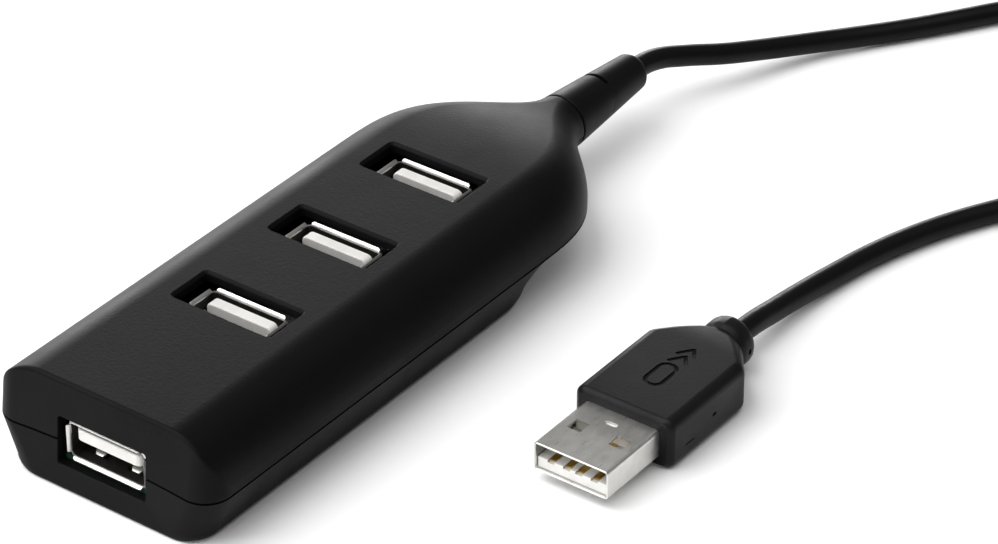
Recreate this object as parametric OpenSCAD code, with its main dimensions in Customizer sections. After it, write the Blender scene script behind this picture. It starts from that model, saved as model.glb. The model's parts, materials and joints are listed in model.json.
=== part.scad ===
// A four-port USB hub on a captive lead: a bottle-shaped two-part case with three receptacles in
// its top and one in its front end, the circuit board they stand on, and the lead with its plug.
// Millimetres. X runs along the case towards the lead, Z is up, and the origin is on the surface
// that the case lies on, under the middle of the case.

/* [Case] */
// Length of the case from its front face to the end of its neck
case_l = 103.4; // [100:0.2:130]
// Width of the case at the parting line
case_w = 38; // [36:0.2:48]
// Height of the case
case_h = 16.6; // [16:0.1:20]
// Thickness of the case walls
wall = 1.6; // [1.2:0.1:2]
// Height of the line where the two shells part
parting_z = 7.4; // [7:0.1:8]
// Height of the open groove along the parting line
seam = 0.3; // [0.2:0.05:0.5]
// Depth of the groove along the parting line
seam_depth = 0.5; // [0.3:0.05:0.7]
// Radius of the two long top edges
edge_r = 8; // [6:0.5:8]
// Radius of the two upright front corners, seen from above
corner_r = 4; // [3:0.5:5]
// Radius of the long bottom edges
base_r = 2; // [1.8:0.1:3]
// How far the lower walls lean inwards from the parting line to the base, each side
base_in = 2.2; // [1:0.1:3]
// How far the front face leans back over its height
front_lean = 1.35; // [0:0.05:1.5]
// Length of the shoulders that narrow the case to its neck
shoulder_l = 31.4; // [28:0.2:36]
// Outer radius of the neck where the lead leaves
neck_r = 4.35; // [4:0.05:5]
// Height of the neck's centre
neck_z = 8.5; // [8.2:0.1:9]
// Distance from the front face to where the underside starts to rise
keel_l = 68; // [60:1:72]
// Length over which the underside rises to the neck
keel_rise_l = 19; // [14:1:24]

/* [Openings] */
// Distance from the front face to the centre of the first top port
port_first = 29.15; // [28:0.05:32]
// Distance from one top port to the next
port_pitch = 20.6; // [17:0.1:25]
// Length of a top opening, across the case
opening_l = 16.7; // [16:0.1:18]
// Width of a top opening, along the case
opening_w = 7.2; // [7.2:0.1:8]
// Length of the front opening, across the case
front_opening_l = 15.1; // [14.8:0.1:17]
// Height of the front opening
front_opening_h = 7.3; // [7.2:0.1:8]
// Chamfer round each opening
opening_chamfer = 0.35; // [0.1:0.05:0.5]
// Depth of a receptacle's rim below the outside of the case
rim_depth = 1.35; // [0.8:0.05:1.5]

/* [Receptacles] */
// Inside length of a receptacle's metal shell
mouth_l = 12.5; // [12.4:0.05:12.6]
// Inside width of a receptacle's metal shell
mouth_w = 5.12; // [5.1:0.01:5.2]
// Thickness of the receptacle's sheet metal
sheet = 0.35; // [0.25:0.05:0.4]
// How far the rim flares outwards and upwards
flare = 0.65; // [0.3:0.05:0.7]
// Width of the insulator's tongue
tongue_l = 11.1; // [10.9:0.05:11.2]
// Thickness of the insulator's tongue
tongue_t = 1.84; // [1.7:0.02:1.9]
// Gap between the tongue's back and the shell
tongue_gap = 0.72; // [0.6:0.02:0.9]
// Depth of the front receptacle from its rim to its back
front_port_d = 13; // [12.5:0.5:15]
// Height of the moulded block at the back of each receptacle
block_h = 3.2; // [2.5:0.1:4]

/* [Circuit board] */
// Thickness of the circuit board
board_t = 1.2; // [1:0.1:1.6]
// Height of the board's underside
board_z = 3.35; // [3.1:0.05:3.6]
// Gap between the board's edge and the case walls
board_gap = 0.4; // [0.2:0.1:1]
// How far the board runs on behind the last receptacle
board_tail = 2.2; // [1.8:0.1:3]
// Radius of the spigots that locate the board and the top shell
spigot_r = 1.6; // [1.2:0.1:2]
// Distance of the spigots from the middle line
spigot_y = 12; // [11.5:0.1:13]
// Gap round each spigot in the board and the top shell, and round the strain relief in the neck
fit_gap = 0.05; // [0.03:0.01:0.1]

/* [Lead] */
// Diameter of the lead
cord_d = 3.4; // [3:0.1:4]
// Length of the strain relief outside the neck
relief_l = 18.9; // [16:0.1:24]
// Radius of the strain relief at its thin end
relief_end_r = 2.8; // [2.5:0.1:3]
// Length of the strain relief's stem inside the neck
stem_l = 9; // [8:0.5:10]
// Radius of the strain relief's stem
stem_r = 2.4; // [2.2:0.1:2.6]
// Radius of the flange that keeps the strain relief in the neck
flange_r = 3.1; // [2.9:0.1:3.2]
// Thickness of that flange
flange_t = 1.5; // [1:0.1:2]
// Diameter of each insulated wire inside the lead
wire_d = 1.1; // [0.9:0.1:1.2]
// Radius of the coil of spare lead, at the middle of its turns
coil_r = 20; // [17:0.5:22]
// Thickness of the strap that ties the coil
tie_t = 0.6; // [0.4:0.1:0.8]
// Width of the strap that ties the coil
tie_w = 4; // [3:0.5:6]

/* [Plug] */
// Width of the plug's metal shell
plug_w = 12; // [11.9:0.05:12.1]
// Thickness of the plug's metal shell
plug_t = 4.5; // [4.4:0.05:4.6]
// Length of metal shell that stands out of the grip
plug_l = 11.8; // [11.5:0.05:12]
// Thickness of the plug's sheet metal
plug_sheet = 0.3; // [0.25:0.05:0.4]
// Width of the grip
grip_w = 16; // [15:0.1:17]
// Thickness of the grip
grip_t = 7.8; // [7.4:0.1:8.5]
// Length of the grip from its front face to the end of its collar
grip_l = 27.4; // [25:0.1:30]
// Radius of the collar where the lead enters the grip
collar_r = 3.8; // [3.2:0.1:3.9]

/* [Hidden] */

eps = 0.01;
front_x = -case_l / 2;
neck_x = case_l / 2;
cavity_top = case_h - wall;
flange_d = case_l - stem_l - flange_t;
shell_w = mouth_w + 2 * sheet;
shell_l = mouth_l + 2 * sheet;
board_top = board_z + board_t;
board_w = case_w - 2 * (base_in + wall + board_gap);
board_x0 = front_x + wall + board_gap;
board_l = port_first + 2 * port_pitch + shell_w / 2 + board_tail - wall - board_gap;
front_port_z = board_top + shell_w / 2;
port_h = case_h - rim_depth - board_top;
port_x = [for (i = [0:2]) front_x + port_first + i * port_pitch];
contact_y = [-3.5, -1, 1, 3.5];
contact_w = 1;
contact_t = 0.3;
tail_w = 0.6;
tail_hole_r = 0.45;
tail_reach = board_t + 0.9;
leg_w = 1.4;
leg_gap = 0.3;
spigot_x = [for (i = [0, 2]) port_x[i] - port_pitch / 2];
boss_r = spigot_r + 1;
spigot_top = parting_z + 2;

// ---- the case: sections across X, lofted from the front face to the neck ----

arc_steps = 6;
base_steps = 3;
// How much an upright front corner leans in with the square of its height over the parting line.
corner_crown = 0.001;

// How full the section is at distance d from the front: 1 along the body, 0 at the neck.
function fullness(d) =
  let (t = max(0, (d - case_l + shoulder_l) / shoulder_l)) (1 + cos(180 * pow(t, 1.74))) / 2;

// How far the underside is still down at distance d: 1 along the base, 0 at the neck.
function keel(d) =
  let (t = min(1, max(0, (d - keel_l) / keel_rise_l))) (1 + cos(180 * t)) / 2;

// How far a rounded upright corner of radius r has drawn the side in, d behind the front face.
function corner_in(d, r) = d < r ? r - sqrt(r * r - (r - d) * (r - d)) : 0;

function mix(a, b, share) = a * share + b * (1 - share);

// One section at distance d, its outline moved inwards by off, as [y, z] points round from the
// right side. Each point is a mix of a point on the body's outline and one on the neck's circle.
function half_section(d, off) =
  let (
    full = fullness(d),
    down = keel(d),
    side = case_w / 2 - off,
    inset = corner_in(d - off, corner_r - off),
    r = edge_r - off,
    rb = max(0.4, base_r - off),
    foot = side - inset - base_in,
    n = neck_r - off,
    dip = asin((parting_z - neck_z) / n)
  )
  concat(
    [for (k = [0:base_steps])
      let (a = -90 + 90 * k / base_steps, c = mix(-86, dip - 12, 1 - k / base_steps))
      [mix(mix(foot - rb + rb * cos(a), n * cos(c), full), n * cos(c), (1 + down) / 2),
       mix(off + rb + rb * sin(a), neck_z + n * sin(c), down)]],
    [[min(side - inset, mix(side, n * cos(dip), full)), parting_z]],
    [for (k = [0:arc_steps])
      let (a = 90 * k / arc_steps, c = 86 * k / arc_steps)
      let (z = mix(case_h - off - r + r * sin(a), neck_z + n * sin(c), full))
      [min(side - inset - corner_crown * pow(z - parting_z, 2), mix(side - r + r * cos(a), n * cos(c), full)),
       z]]
  );

function ring(d, off) =
  let (half = half_section(d, off), n = len(half))
  concat(half, [for (k = [n - 1:-1:0]) [-half[k][0], half[k][1]]]);

// The front face leans back above the parting line: its points slide along X with their height.
function lean(d, z) = front_lean * max(0, 1 - d / 20) * max(0, z - parting_z) / (case_h - parting_z);

function stations(from, to, r) = concat(
  [for (k = [0:5]) from + r * (1 - cos(90 * k / 5))],
  [20, keel_l],
  [for (d = [keel_l + 3:3:case_l - 4]) if (d < to - 1) d],
  [to]
);

module loft(off, from, to) {
  ds = stations(from, to, corner_r - off);
  rings = [for (d = ds) [for (p = ring(d, off)) [front_x + d + lean(d, p[1]), p[0], p[1]]]];
  n = len(rings[0]);
  last = len(rings) - 1;
  sides = [for (i = [0:last - 1], j = [0:n - 1]) each [
    [(i + 1) * n + j, i * n + (j + 1) % n, i * n + j],
    [(i + 1) * n + j, (i + 1) * n + (j + 1) % n, i * n + (j + 1) % n]
  ]];
  low = base_steps + 1;
  caps = [
    [for (j = [low:n - 1 - low]) j],
    [for (j = [n - 1 - low:n + low]) j % n],
    [for (j = [n - 1:-1:0]) last * n + j]
  ];
  polyhedron([for (r = rings) each r], concat(sides, caps), convexity = 6);
}

// The outline of the body at the parting line, moved inwards by off, seen from above.
module parting_outline(off) {
  ds = stations(off, case_l, corner_r - off);
  right = [for (d = ds) let (p = half_section(d, off)[base_steps + 1])
    [front_x + d + lean(d, parting_z), p[0]]];
  polygon(concat(right, [for (k = [len(right) - 1:-1:0]) [right[k][0], -right[k][1]]]));
}

module slab(z0, z1) {
  translate([-case_l, -case_w, z0]) cube([2 * case_l, 2 * case_w, z1 - z0]);
}

module cavity() intersection() {
  loft(wall, wall, flange_d + 1);
  translate([front_x, -case_l, 0]) cube([flange_d, 2 * case_l, case_l]);
}

// A rectangular hole of size [x, y] with rounded corners, along Z.
module rounded_hole(x, y, h, r) {
  translate([-x / 2 + r, -y / 2 + r, 0]) cube([x - 2 * r, y - 2 * r, h]);
  translate([-x / 2, -y / 2 + r, 0]) cube([x, y - 2 * r, h]);
  translate([-x / 2 + r, -y / 2, 0]) cube([x - 2 * r, y, h]);
  for (sx = [-1, 1], sy = [-1, 1])
    translate([sx * (x / 2 - r), sy * (y / 2 - r), 0]) cylinder(r = r, h = h, $fn = 24);
}

// The cutter for an opening whose outer face is at z = 0 and whose way in is downwards: a
// straight hole under a chamfer.
module opening_cutter(x, y, depth) {
  c = opening_chamfer;
  translate([0, 0, -depth]) rounded_hole(x, y, depth + 1, 0.4);
  hull() {
    translate([-x / 2 - c, -y / 2 - c, 0]) cube([x + 2 * c, y + 2 * c, 1]);
    translate([-x / 2, -y / 2, -c]) cube([x, y, 1]);
  }
}

module case_openings() {
  for (x = port_x) translate([x, 0, case_h]) opening_cutter(opening_w, opening_l, wall + 1);
  translate([front_x + lean(0, front_port_z), 0, front_port_z]) rotate([0, -90, 0])
    opening_cutter(front_opening_h, front_opening_l, wall + 1.5);
  translate([front_x + flange_d, 0, neck_z]) rotate([0, 90, 0]) {
    cylinder(r = stem_r + fit_gap, h = flange_t + stem_l + 1, $fn = 48);
    translate([0, 0, -1]) cylinder(r = flange_r + fit_gap, h = flange_t + 1, $fn = 48);
  }
}

module top_shell() color("#2a2a2c") difference() {
  union() {
    difference() {
      intersection() {
        loft(0, 0, case_l);
        slab(parting_z + seam, case_h + 1);
      }
      cavity();
    }
    for (x = spigot_x, side = [-1, 1])
      translate([x, side * spigot_y, board_top]) cylinder(r = boss_r, h = cavity_top - board_top + 0.5, $fn = 36);
  }
  for (x = spigot_x, side = [-1, 1])
    translate([x, side * spigot_y, board_top - 1])
      cylinder(r = spigot_r + fit_gap, h = spigot_top - board_top + 1.2, $fn = 36);
  case_openings();
}

module bottom_shell() color("#242426") difference() {
  union() {
    difference() {
      union() {
        intersection() {
          loft(0, 0, case_l);
          slab(-1, parting_z);
        }
        translate([0, 0, parting_z - 0.5]) linear_extrude(seam + 0.5) parting_outline(seam_depth);
      }
      cavity();
    }
    for (x = spigot_x, side = [-1, 1]) translate([x, side * spigot_y, wall - 0.3]) {
      cylinder(r = boss_r, h = board_z - wall + 0.3, $fn = 36);
      cylinder(r = spigot_r, h = spigot_top - wall + 0.3, $fn = 36);
    }
    for (side = [-1, 1], x = [board_x0 + 4, port_x[2] - port_pitch / 4])
      translate([x, side * (board_w / 2 - 2) - 0.6, wall - 0.3]) cube([1.6, 1.2, board_z - wall + 0.3]);
  }
  case_openings();
}

// ---- the circuit board and what stands on it ----

module at_port(i) translate([port_x[i], 0, board_top]) children();

module at_front_port()
  translate([front_x + rim_depth + front_port_d, 0, front_port_z]) rotate([0, -90, 0]) children();

module port_holes() {
  for (side = [-1, 1]) translate([0, side * (shell_l - sheet) / 2, -5])
    rounded_hole(leg_w + 2 * leg_gap, sheet + 2 * leg_gap, 10, 0.2);
  for (y = contact_y) translate([tail_x, y, -5]) cylinder(r = tail_hole_r, h = 10, $fn = 24);
}

module circuit_board() color("#1f5c3a") difference() {
  translate([board_x0, 0, board_z]) linear_extrude(board_t) {
    difference() {
      translate([0, -board_w / 2]) square([board_l, board_w]);
      for (side = [-1, 1], x = [0, board_l])
        translate([x, side * board_w / 2]) rotate(45) square(x == 0 ? 4 : 9, center = true);
    }
  }
  for (i = [0:2]) at_port(i) port_holes();
  for (side = [-1, 1]) translate([front_leg_x, side * (shell_l - sheet) / 2, board_z - 1])
    rounded_hole(leg_w + 2 * leg_gap, sheet + 2 * leg_gap, board_t + 2, 0.2);
  for (y = contact_y) translate([front_tail_x, y, board_z - 1]) cylinder(r = tail_hole_r, h = board_t + 2, $fn = 24);
  for (x = spigot_x, side = [-1, 1])
    translate([x, side * spigot_y, board_z - 1]) cylinder(r = spigot_r + fit_gap, h = board_t + 2, $fn = 36);
}

// Where the contact tails go down, from the tongue's front face, and the front port's holes.
tongue_face_x = mouth_w / 2 - tongue_gap - tongue_t;
tail_x = tongue_face_x;
front_leg_x = front_x + rim_depth + front_port_d - 5;
front_tail_x = front_x + rim_depth + front_port_d + 1;

// A receptacle's metal shell, its back at z = 0 and its rim at z = h: a folded tube with two
// sprung fingers in each broad wall, one in each narrow wall, and a rim that flares outwards.
module finger(h, w, length) {
  rotate([90, 0, 0]) linear_extrude(w, center = true) polygon([
    [0, h - 1.8 - length], [sheet, h - 1.8 - length], [sheet, h - 1.5 - length],
    [-0.45 + sheet, h - 3.2], [-0.1 + sheet, h - 1.9], [-0.1, h - 1.9], [-0.45, h - 3.2],
    [0, h - 1.5 - length]
  ]);
}

module finger_window(h, w, length) {
  translate([-0.5, -w / 2 - 0.3, h - 1.5 - length]) cube([1 + sheet, w + 0.6, length]);
}

module flared_lip(w) {
  rotate([90, 0, 0]) linear_extrude(w, center = true) polygon([
    [0, 0], [sheet, 0], [sheet + flare * 0.6, flare - sheet * 0.3], [flare * 0.6 + sheet * 0.1, flare]
  ]);
}

module receptacle_shell(h) {
  wide_y = mouth_l / 4;
  rim = h - flare;
  finger_l = min(5, h - block_h - 2.2);
  difference() {
    linear_extrude(rim) difference() {
      square([shell_w, shell_l], center = true);
      square([mouth_w, mouth_l], center = true);
    }
    for (sx = [0, 180], y = [-wide_y, wide_y]) rotate(sx) translate([mouth_w / 2, y, 0])
      finger_window(rim, 2, finger_l);
    for (sy = [90, 270]) rotate(sy) translate([mouth_l / 2, 0, 0]) finger_window(rim, 1.4, finger_l);
  }
  for (sx = [0, 180], y = [-wide_y, wide_y]) rotate(sx) translate([mouth_w / 2, y, 0])
    finger(rim, 2, finger_l);
  for (sy = [90, 270]) rotate(sy) translate([mouth_l / 2, 0, 0]) finger(rim, 1.4, finger_l);
  for (sx = [0, 180]) rotate(sx) translate([mouth_w / 2, 0, rim]) flared_lip(mouth_l - 1);
  for (sy = [90, 270]) rotate(sy) translate([mouth_l / 2, 0, rim]) flared_lip(mouth_w - 0.7);
}

module leg() translate([-leg_w / 2, -sheet / 2, 0]) cube([leg_w, sheet, tail_reach]);

module port_shell(i) color("#c9c9c6") at_port(i) {
  receptacle_shell(port_h);
  for (side = [-1, 1]) translate([0, side * (shell_l - sheet) / 2, -tail_reach]) leg();
}

module front_port_shell() color("#c9c9c6") at_front_port() {
  receptacle_shell(front_port_d);
  for (side = [-1, 1]) translate([-shell_w / 2 - tail_reach, side * (shell_l - sheet) / 2, 5])
    rotate([0, 90, 0]) translate([0, 0, eps]) leg();
}

// One contact: a leaf on the tongue's face with a bump near its tip, from the receptacle's back up.
module contact_leaf(h) {
  tip = h - flare - 1.2;
  half = contact_t / 2;
  rotate([90, 0, 0]) linear_extrude(contact_w, center = true) polygon([
    [tongue_face_x - half, 0], [tongue_face_x + half, 0], [tongue_face_x + half, tip],
    [tongue_face_x - half, tip], [tongue_face_x - 0.45, tip - 1.6], [tongue_face_x - half, tip - 3.4]
  ]);
}

module port_contacts(i) color("#d8b25a") at_port(i) for (y = contact_y) translate([0, y, 0]) {
  contact_leaf(port_h);
  translate([tongue_face_x - contact_t / 2, -tail_w / 2, -tail_reach]) cube([contact_t, tail_w, tail_reach]);
}

module front_port_contacts() color("#d8b25a") at_front_port() for (y = contact_y) translate([0, y, 0]) {
  contact_leaf(front_port_d);
  half = contact_t / 2;
  translate([tongue_face_x - half, -tail_w / 2, -1 - half]) cube([contact_t, tail_w, 1 + half]);
  translate([-shell_w / 2 - tail_reach, -tail_w / 2, -1 - half])
    cube([tongue_face_x + shell_w / 2 + tail_reach, tail_w, contact_t]);
}

// The moulded insulator: a block that fills the back of the shell, and the tongue on it.
module receptacle_insulator(h) difference() {
  union() {
    translate([-mouth_w / 2, -mouth_l / 2, 0]) cube([mouth_w, mouth_l, block_h]);
    tongue_top = h - flare - 0.05;
    translate([tongue_face_x, 0, 0]) rotate([0, 90, 0]) linear_extrude(tongue_t) {
      translate([-tongue_top + 0.8, -tongue_l / 2]) square([tongue_top - 0.8, tongue_l]);
      translate([-tongue_top, -tongue_l / 2 + 0.8]) square([1, tongue_l - 1.6]);
      for (side = [-1, 1]) translate([-tongue_top + 0.8, side * (tongue_l / 2 - 0.8)]) circle(0.8, $fn = 24);
    }
  }
  for (y = contact_y) translate([0, y, 0]) contact_leaf(h);
}

module port_insulator(i) color("#d9d9d6") at_port(i) receptacle_insulator(port_h);

module front_port_insulator() color("#d9d9d6") at_front_port() receptacle_insulator(front_port_d);

chip_x = (front_tail_x + port_x[0] - shell_w / 2) / 2;
chip_size = [4, 10, 1.5];
chip_lift = 0.15;
lead_pitch = 0.65;
leads_per_side = 14;

module hub_chip() color("#1b1b1d")
  translate([chip_x - chip_size[0] / 2, -chip_size[1] / 2, board_top + chip_lift]) cube(chip_size);

module hub_chip_leads() color("#c0c0c0")
  for (side = [0, 180], k = [0:leads_per_side - 1])
    translate([chip_x, (k - (leads_per_side - 1) / 2) * lead_pitch, board_top]) rotate(side)
      translate([chip_size[0] / 2, 0, 0]) rotate([90, 0, 0]) linear_extrude(0.3, center = true) polygon([
        [0, 0.8], [0, 1], [0.5, 1], [0.7, 0.2], [1.1, 0.2], [1.1, 0], [0.55, 0], [0.35, 0.8]
      ]);

module crystal() color("#bfc1c4") translate([(port_x[0] + port_x[1]) / 2, 0, board_top])
  for (step = [[4.6, 11, 0, 0.5], [3.9, 10.2, 0.4, 3.2]]) translate([0, 0, step[2]]) linear_extrude(step[3]) {
    square([step[0], step[1] - step[0]], center = true);
    for (side = [-1, 1]) translate([0, side * (step[1] - step[0]) / 2]) circle(step[0] / 2, $fn = 32);
  }

module bulk_capacitor() color("#32435e") translate([(port_x[1] + port_x[2]) / 2, 0, board_top])
  rotate_extrude($fn = 48) polygon([
    [0, 0], [2.4, 0], [2.5, 0.1], [2.5, 0.9], [2.3, 1.1], [2.3, 1.3], [2.5, 1.5], [2.5, 5.3], [2.3, 5.5], [0, 5.5]
  ]);

module chip_part(x, y, size) translate([x - size[0] / 2, y - size[1] / 2, board_top]) cube(size);

module ceramic_capacitors() color("#9c8259") {
  for (x = port_x) chip_part(x - shell_w / 2 - 1.2, -4, [0.9, 1.7, 0.8]);
  for (side = [-1, 1]) chip_part(chip_x, side * 7, [1.7, 0.9, 0.8]);
}

module resistors() color("#26262a") {
  for (x = port_x, y = [3, 5.4]) chip_part(x - shell_w / 2 - 1.2, y, [0.9, 1.7, 0.5]);
  for (side = [-1, 1]) chip_part(chip_x + 2.6, side * 9.5, [0.9, 1.7, 0.5]);
}

// ---- sweeps: rings of a round tube at each point of a route ----

function unit(v) = v / norm(v);

// The direction of a route at point i. Its two ends are given, so that they meet flat faces.
function heading(points, i, first, last) =
  i == 0 ? first : i == len(points) - 1 ? last : unit(unit(points[i + 1] - points[i]) + unit(points[i] - points[i - 1]));

function tube_ring(centre, dir, r, sides, level) =
  let (u = unit(cross(dir, level)), v = cross(u, dir))
  [for (k = [0:sides - 1]) centre + r * (u * cos(360 * k / sides) + v * sin(360 * k / sides))];

module tube(points, r, sides, first, last, level) {
  n = len(points);
  rings = [for (i = [0:n - 1]) tube_ring(points[i], heading(points, i, first, last), r, sides, level)];
  walls = [for (i = [0:n - 2], j = [0:sides - 1]) each [
    [i * sides + j, i * sides + (j + 1) % sides, (i + 1) * sides + j],
    [i * sides + (j + 1) % sides, (i + 1) * sides + (j + 1) % sides, (i + 1) * sides + j]
  ]];
  caps = [[for (j = [sides - 1:-1:0]) j], [for (j = [0:sides - 1]) (n - 1) * sides + j]];
  polyhedron([for (r = rings) each r], concat(walls, caps), convexity = 10);
}

// ---- the wires inside the case, from the strain relief to the board ----

wire_start_x = neck_x - stem_l - flange_t;
pad_x = port_x[2] + (shell_w + board_tail) / 2;

function bezier(a, b, c, d, t) =
  pow(1 - t, 3) * a + 3 * pow(1 - t, 2) * t * b + 3 * (1 - t) * t * t * c + pow(t, 3) * d;

module wire(k) {
  spread = [-3.75, -1.25, 1.25, 3.75][k];
  start = [wire_start_x, [-1, -0.7, 0.7, 1][k], neck_z + [0.6, -0.9, -0.9, 0.6][k]];
  points = [for (t = [0:0.1:1.001]) bezier(start, start - [7, 0, 0], [pad_x, spread, board_top + 5],
    [pad_x, spread, board_top], min(t, 1))];
  tube(points, wire_d / 2, 8, [-1, 0, 0], [0, 0, -1], [0, 1, 0]);
}

module wire_red() color("#b3261e") wire(0);
module wire_white() color("#e8e8e4") wire(1);
module wire_green() color("#2e7d3a") wire(2);
module wire_black() color("#1c1c1c") wire(3);

// ---- the lead ----

exit_x = neck_x + relief_l;
exit = [exit_x, 0, 0];
coil_outer = coil_r + cord_d;
coil_h = 2 * cord_d;
// The height of the lead's middle where it lies on the surface, and where it rests on two strands.
lie_z = cord_d / 2;
nest_z = lie_z + cord_d * sin(60);
coil_centre = exit + [58, -64, 0];
leave_angle = 244.5;
tie_angle = 130;

// The lead's route from the strain relief to the coil, and from the coil to the plug, measured
// from the strain relief's end. Each is a line of points, with its rise above the lead lying flat.
to_coil = [
  [5, -0.5, 6.4], [10, -2.4, 5.3], [16, -5.3, 3.8], [23, -8.2, 2.3], [30, -11.4, 1.1],
  [37, -15.4, 0.3], [44, -20.2, 0], [51, -25, 0], [58, -29.6, 0], [65, -34.8, 0], [71, -41, 0],
  [75.8, -48, 0], [78.8, -56, 0]
];
to_plug = [
  [42.2, -78.6, 3.5], [35, -75.1, 3], [28, -71.2, 1.7], [21, -67, 0.5], [14.5, -62.8, 0],
  [8, -59, 0], [1, -55.4, 0], [-6, -52.6, 0], [-13.5, -50.4, 0], [-21, -49, 0.1],
  [-28, -48.2, 0.5], [-35, -48, 1.3], [-40, -48, 2]
];
collar_end = [-44.3, -48];

function laid(route) = [for (p = route) exit + p + [0, 0, lie_z]];

module cable_to_coil() color("#1d1d1f") tube(
  concat([exit + [0, 0, neck_z]], laid(to_coil), [coil_centre + [coil_r + cord_d / 2, 0, lie_z]]),
  cord_d / 2, 8, [1, 0, 0], [0, -1, 0], [0, 0, 1]);

module cable_to_plug() color("#1d1d1f") {
  leave = [cos(leave_angle), sin(leave_angle), 0];
  tube(
    concat([coil_centre + coil_r * leave + [0, 0, nest_z]], laid(to_plug),
      [exit + [collar_end[0], collar_end[1], grip_t / 2]]),
    cord_d / 2, 8, [leave[1], -leave[0], 0], [-1, 0, 0], [0, 0, 1]);
}

module tie_loop() translate(coil_centre) rotate(tie_angle)
  translate([coil_r - cord_d, -tie_w / 2, 0]) difference() {
    translate([-tie_t, 0, 0]) cube([2 * cord_d + 2 * tie_t, tie_w, coil_h + tie_t]);
    translate([0, -1, tie_t]) cube([2 * cord_d, tie_w + 2, coil_h - tie_t]);
  }

module cable_tie() color("#202022") {
  tie_loop();
  translate(coil_centre) rotate(tie_angle)
    translate([coil_r, 0, coil_h + tie_t + 0.8]) cube([4, tie_w + 1, 1.6], center = true);
}

module cable_coil() color("#1d1d1f") difference() {
  translate(coil_centre) rotate_extrude($fn = 96) polygon([
    [coil_r - cord_d, 0.8], [coil_r - cord_d + 0.8, 0], [coil_outer - 0.8, 0], [coil_outer, 0.8],
    [coil_outer, coil_h / 2], [coil_outer - 1.6, coil_h], [coil_r - cord_d + 1.6, coil_h],
    [coil_r - cord_d, coil_h / 2]
  ]);
  tie_loop();
  translate(coil_centre) {
    linear_extrude(coil_h + 1) difference() {
      polygon([[0, 0], [60, 0], [60, 60 * tan(62)]]);
      circle(coil_r - 0.1, $fn = 96);
    }
    rotate(leave_angle) translate([coil_r - cord_d / 2 - 0.1, -18, nest_z - lie_z - 0.15]) cube([20, 18, 10]);
  }
}

// The strain relief, along X: the flange and stem inside the neck, and a cone outside it.
module strain_relief() color("#1f1f21") translate([neck_x, 0, neck_z]) difference() {
  rotate([0, 90, 0]) rotate_extrude($fn = 48) polygon([
    [0, -stem_l - flange_t], [flange_r, -stem_l - flange_t], [flange_r, -stem_l], [stem_r, -stem_l],
    [stem_r, 0], [neck_r - 0.5, 0], [neck_r - 0.5, 0.3], [neck_r, 0.4], [relief_end_r + 0.25, relief_l - 1.4],
    [relief_end_r, relief_l - 0.7], [relief_end_r - 0.6, relief_l], [0, relief_l]
  ]);
  rotate([30, 0, 0]) translate([relief_l * 0.46, relief_end_r - 2, -6]) cube([0.5, 8, 12]);
}

// ---- the plug: along X from its tip at x = 0, turned to face the case's front end ----

module at_plug() translate([exit_x + collar_end[0] - grip_l - plug_l, collar_end[1], grip_t / 2]) children();

plug_buried = 6.5;
hole_u = 6.4;
hole_y = 3.3;
hole_side = 2.2;
plug_core_w = plug_w - 2 * plug_sheet;
plug_core_t = plug_t / 2 - plug_sheet;

module plug_shell() color("#c4c4c2") at_plug() difference() {
  rotate([90, 0, 90]) linear_extrude(plug_l + plug_buried) difference() {
    plug_outline(plug_w, plug_t, 0.5);
    plug_outline(plug_core_w, plug_t - 2 * plug_sheet, 0.25);
  }
  for (side = [-1, 1]) translate([hole_u - hole_side / 2, side * hole_y - hole_side / 2, -plug_t])
    cube([hole_side, hole_side, 2 * plug_t]);
  translate([plug_l - 2.9, -1, 0]) cube([0.8, 2, plug_t]);
}

module plug_outline(w, t, r) {
  square([w - 2 * r, t], center = true);
  square([w, t - 2 * r], center = true);
  for (sx = [-1, 1], sy = [-1, 1]) translate([sx * (w / 2 - r), sy * (t / 2 - r)]) circle(r, $fn = 24);
}

module plug_strips() for (y = contact_y)
  translate([1.2, y - contact_w / 2, -plug_sheet - 0.05]) cube([plug_l + plug_buried - 1.2, contact_w, 0.2]);

module plug_insulator() color("#dcdcd8") at_plug() difference() {
  union() {
    intersection() {
      translate([0.5, -plug_w, -plug_t]) cube([plug_l + plug_buried - 0.5, 2 * plug_w, plug_t]);
      rotate([90, 0, 90]) linear_extrude(40) plug_outline(plug_core_w, plug_t - 2 * plug_sheet, 0.25);
    }
    translate([plug_l - 3, -plug_core_w / 2 + 0.3, -0.1])
      cube([plug_buried + 3, plug_core_w - 0.6, plug_t / 2 - plug_sheet + 0.1]);
  }
  translate([0, -plug_w, -plug_sheet + 0.05]) cube([plug_l - 3, 2 * plug_w, plug_t]);
  plug_strips();
}

module plug_contacts() color("#d8b25a") at_plug() plug_strips();

module grip_slice(x, w, t, r) translate([x, 0, 0]) rotate([90, 0, 90]) linear_extrude(0.02) plug_outline(w, t, r);

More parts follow.
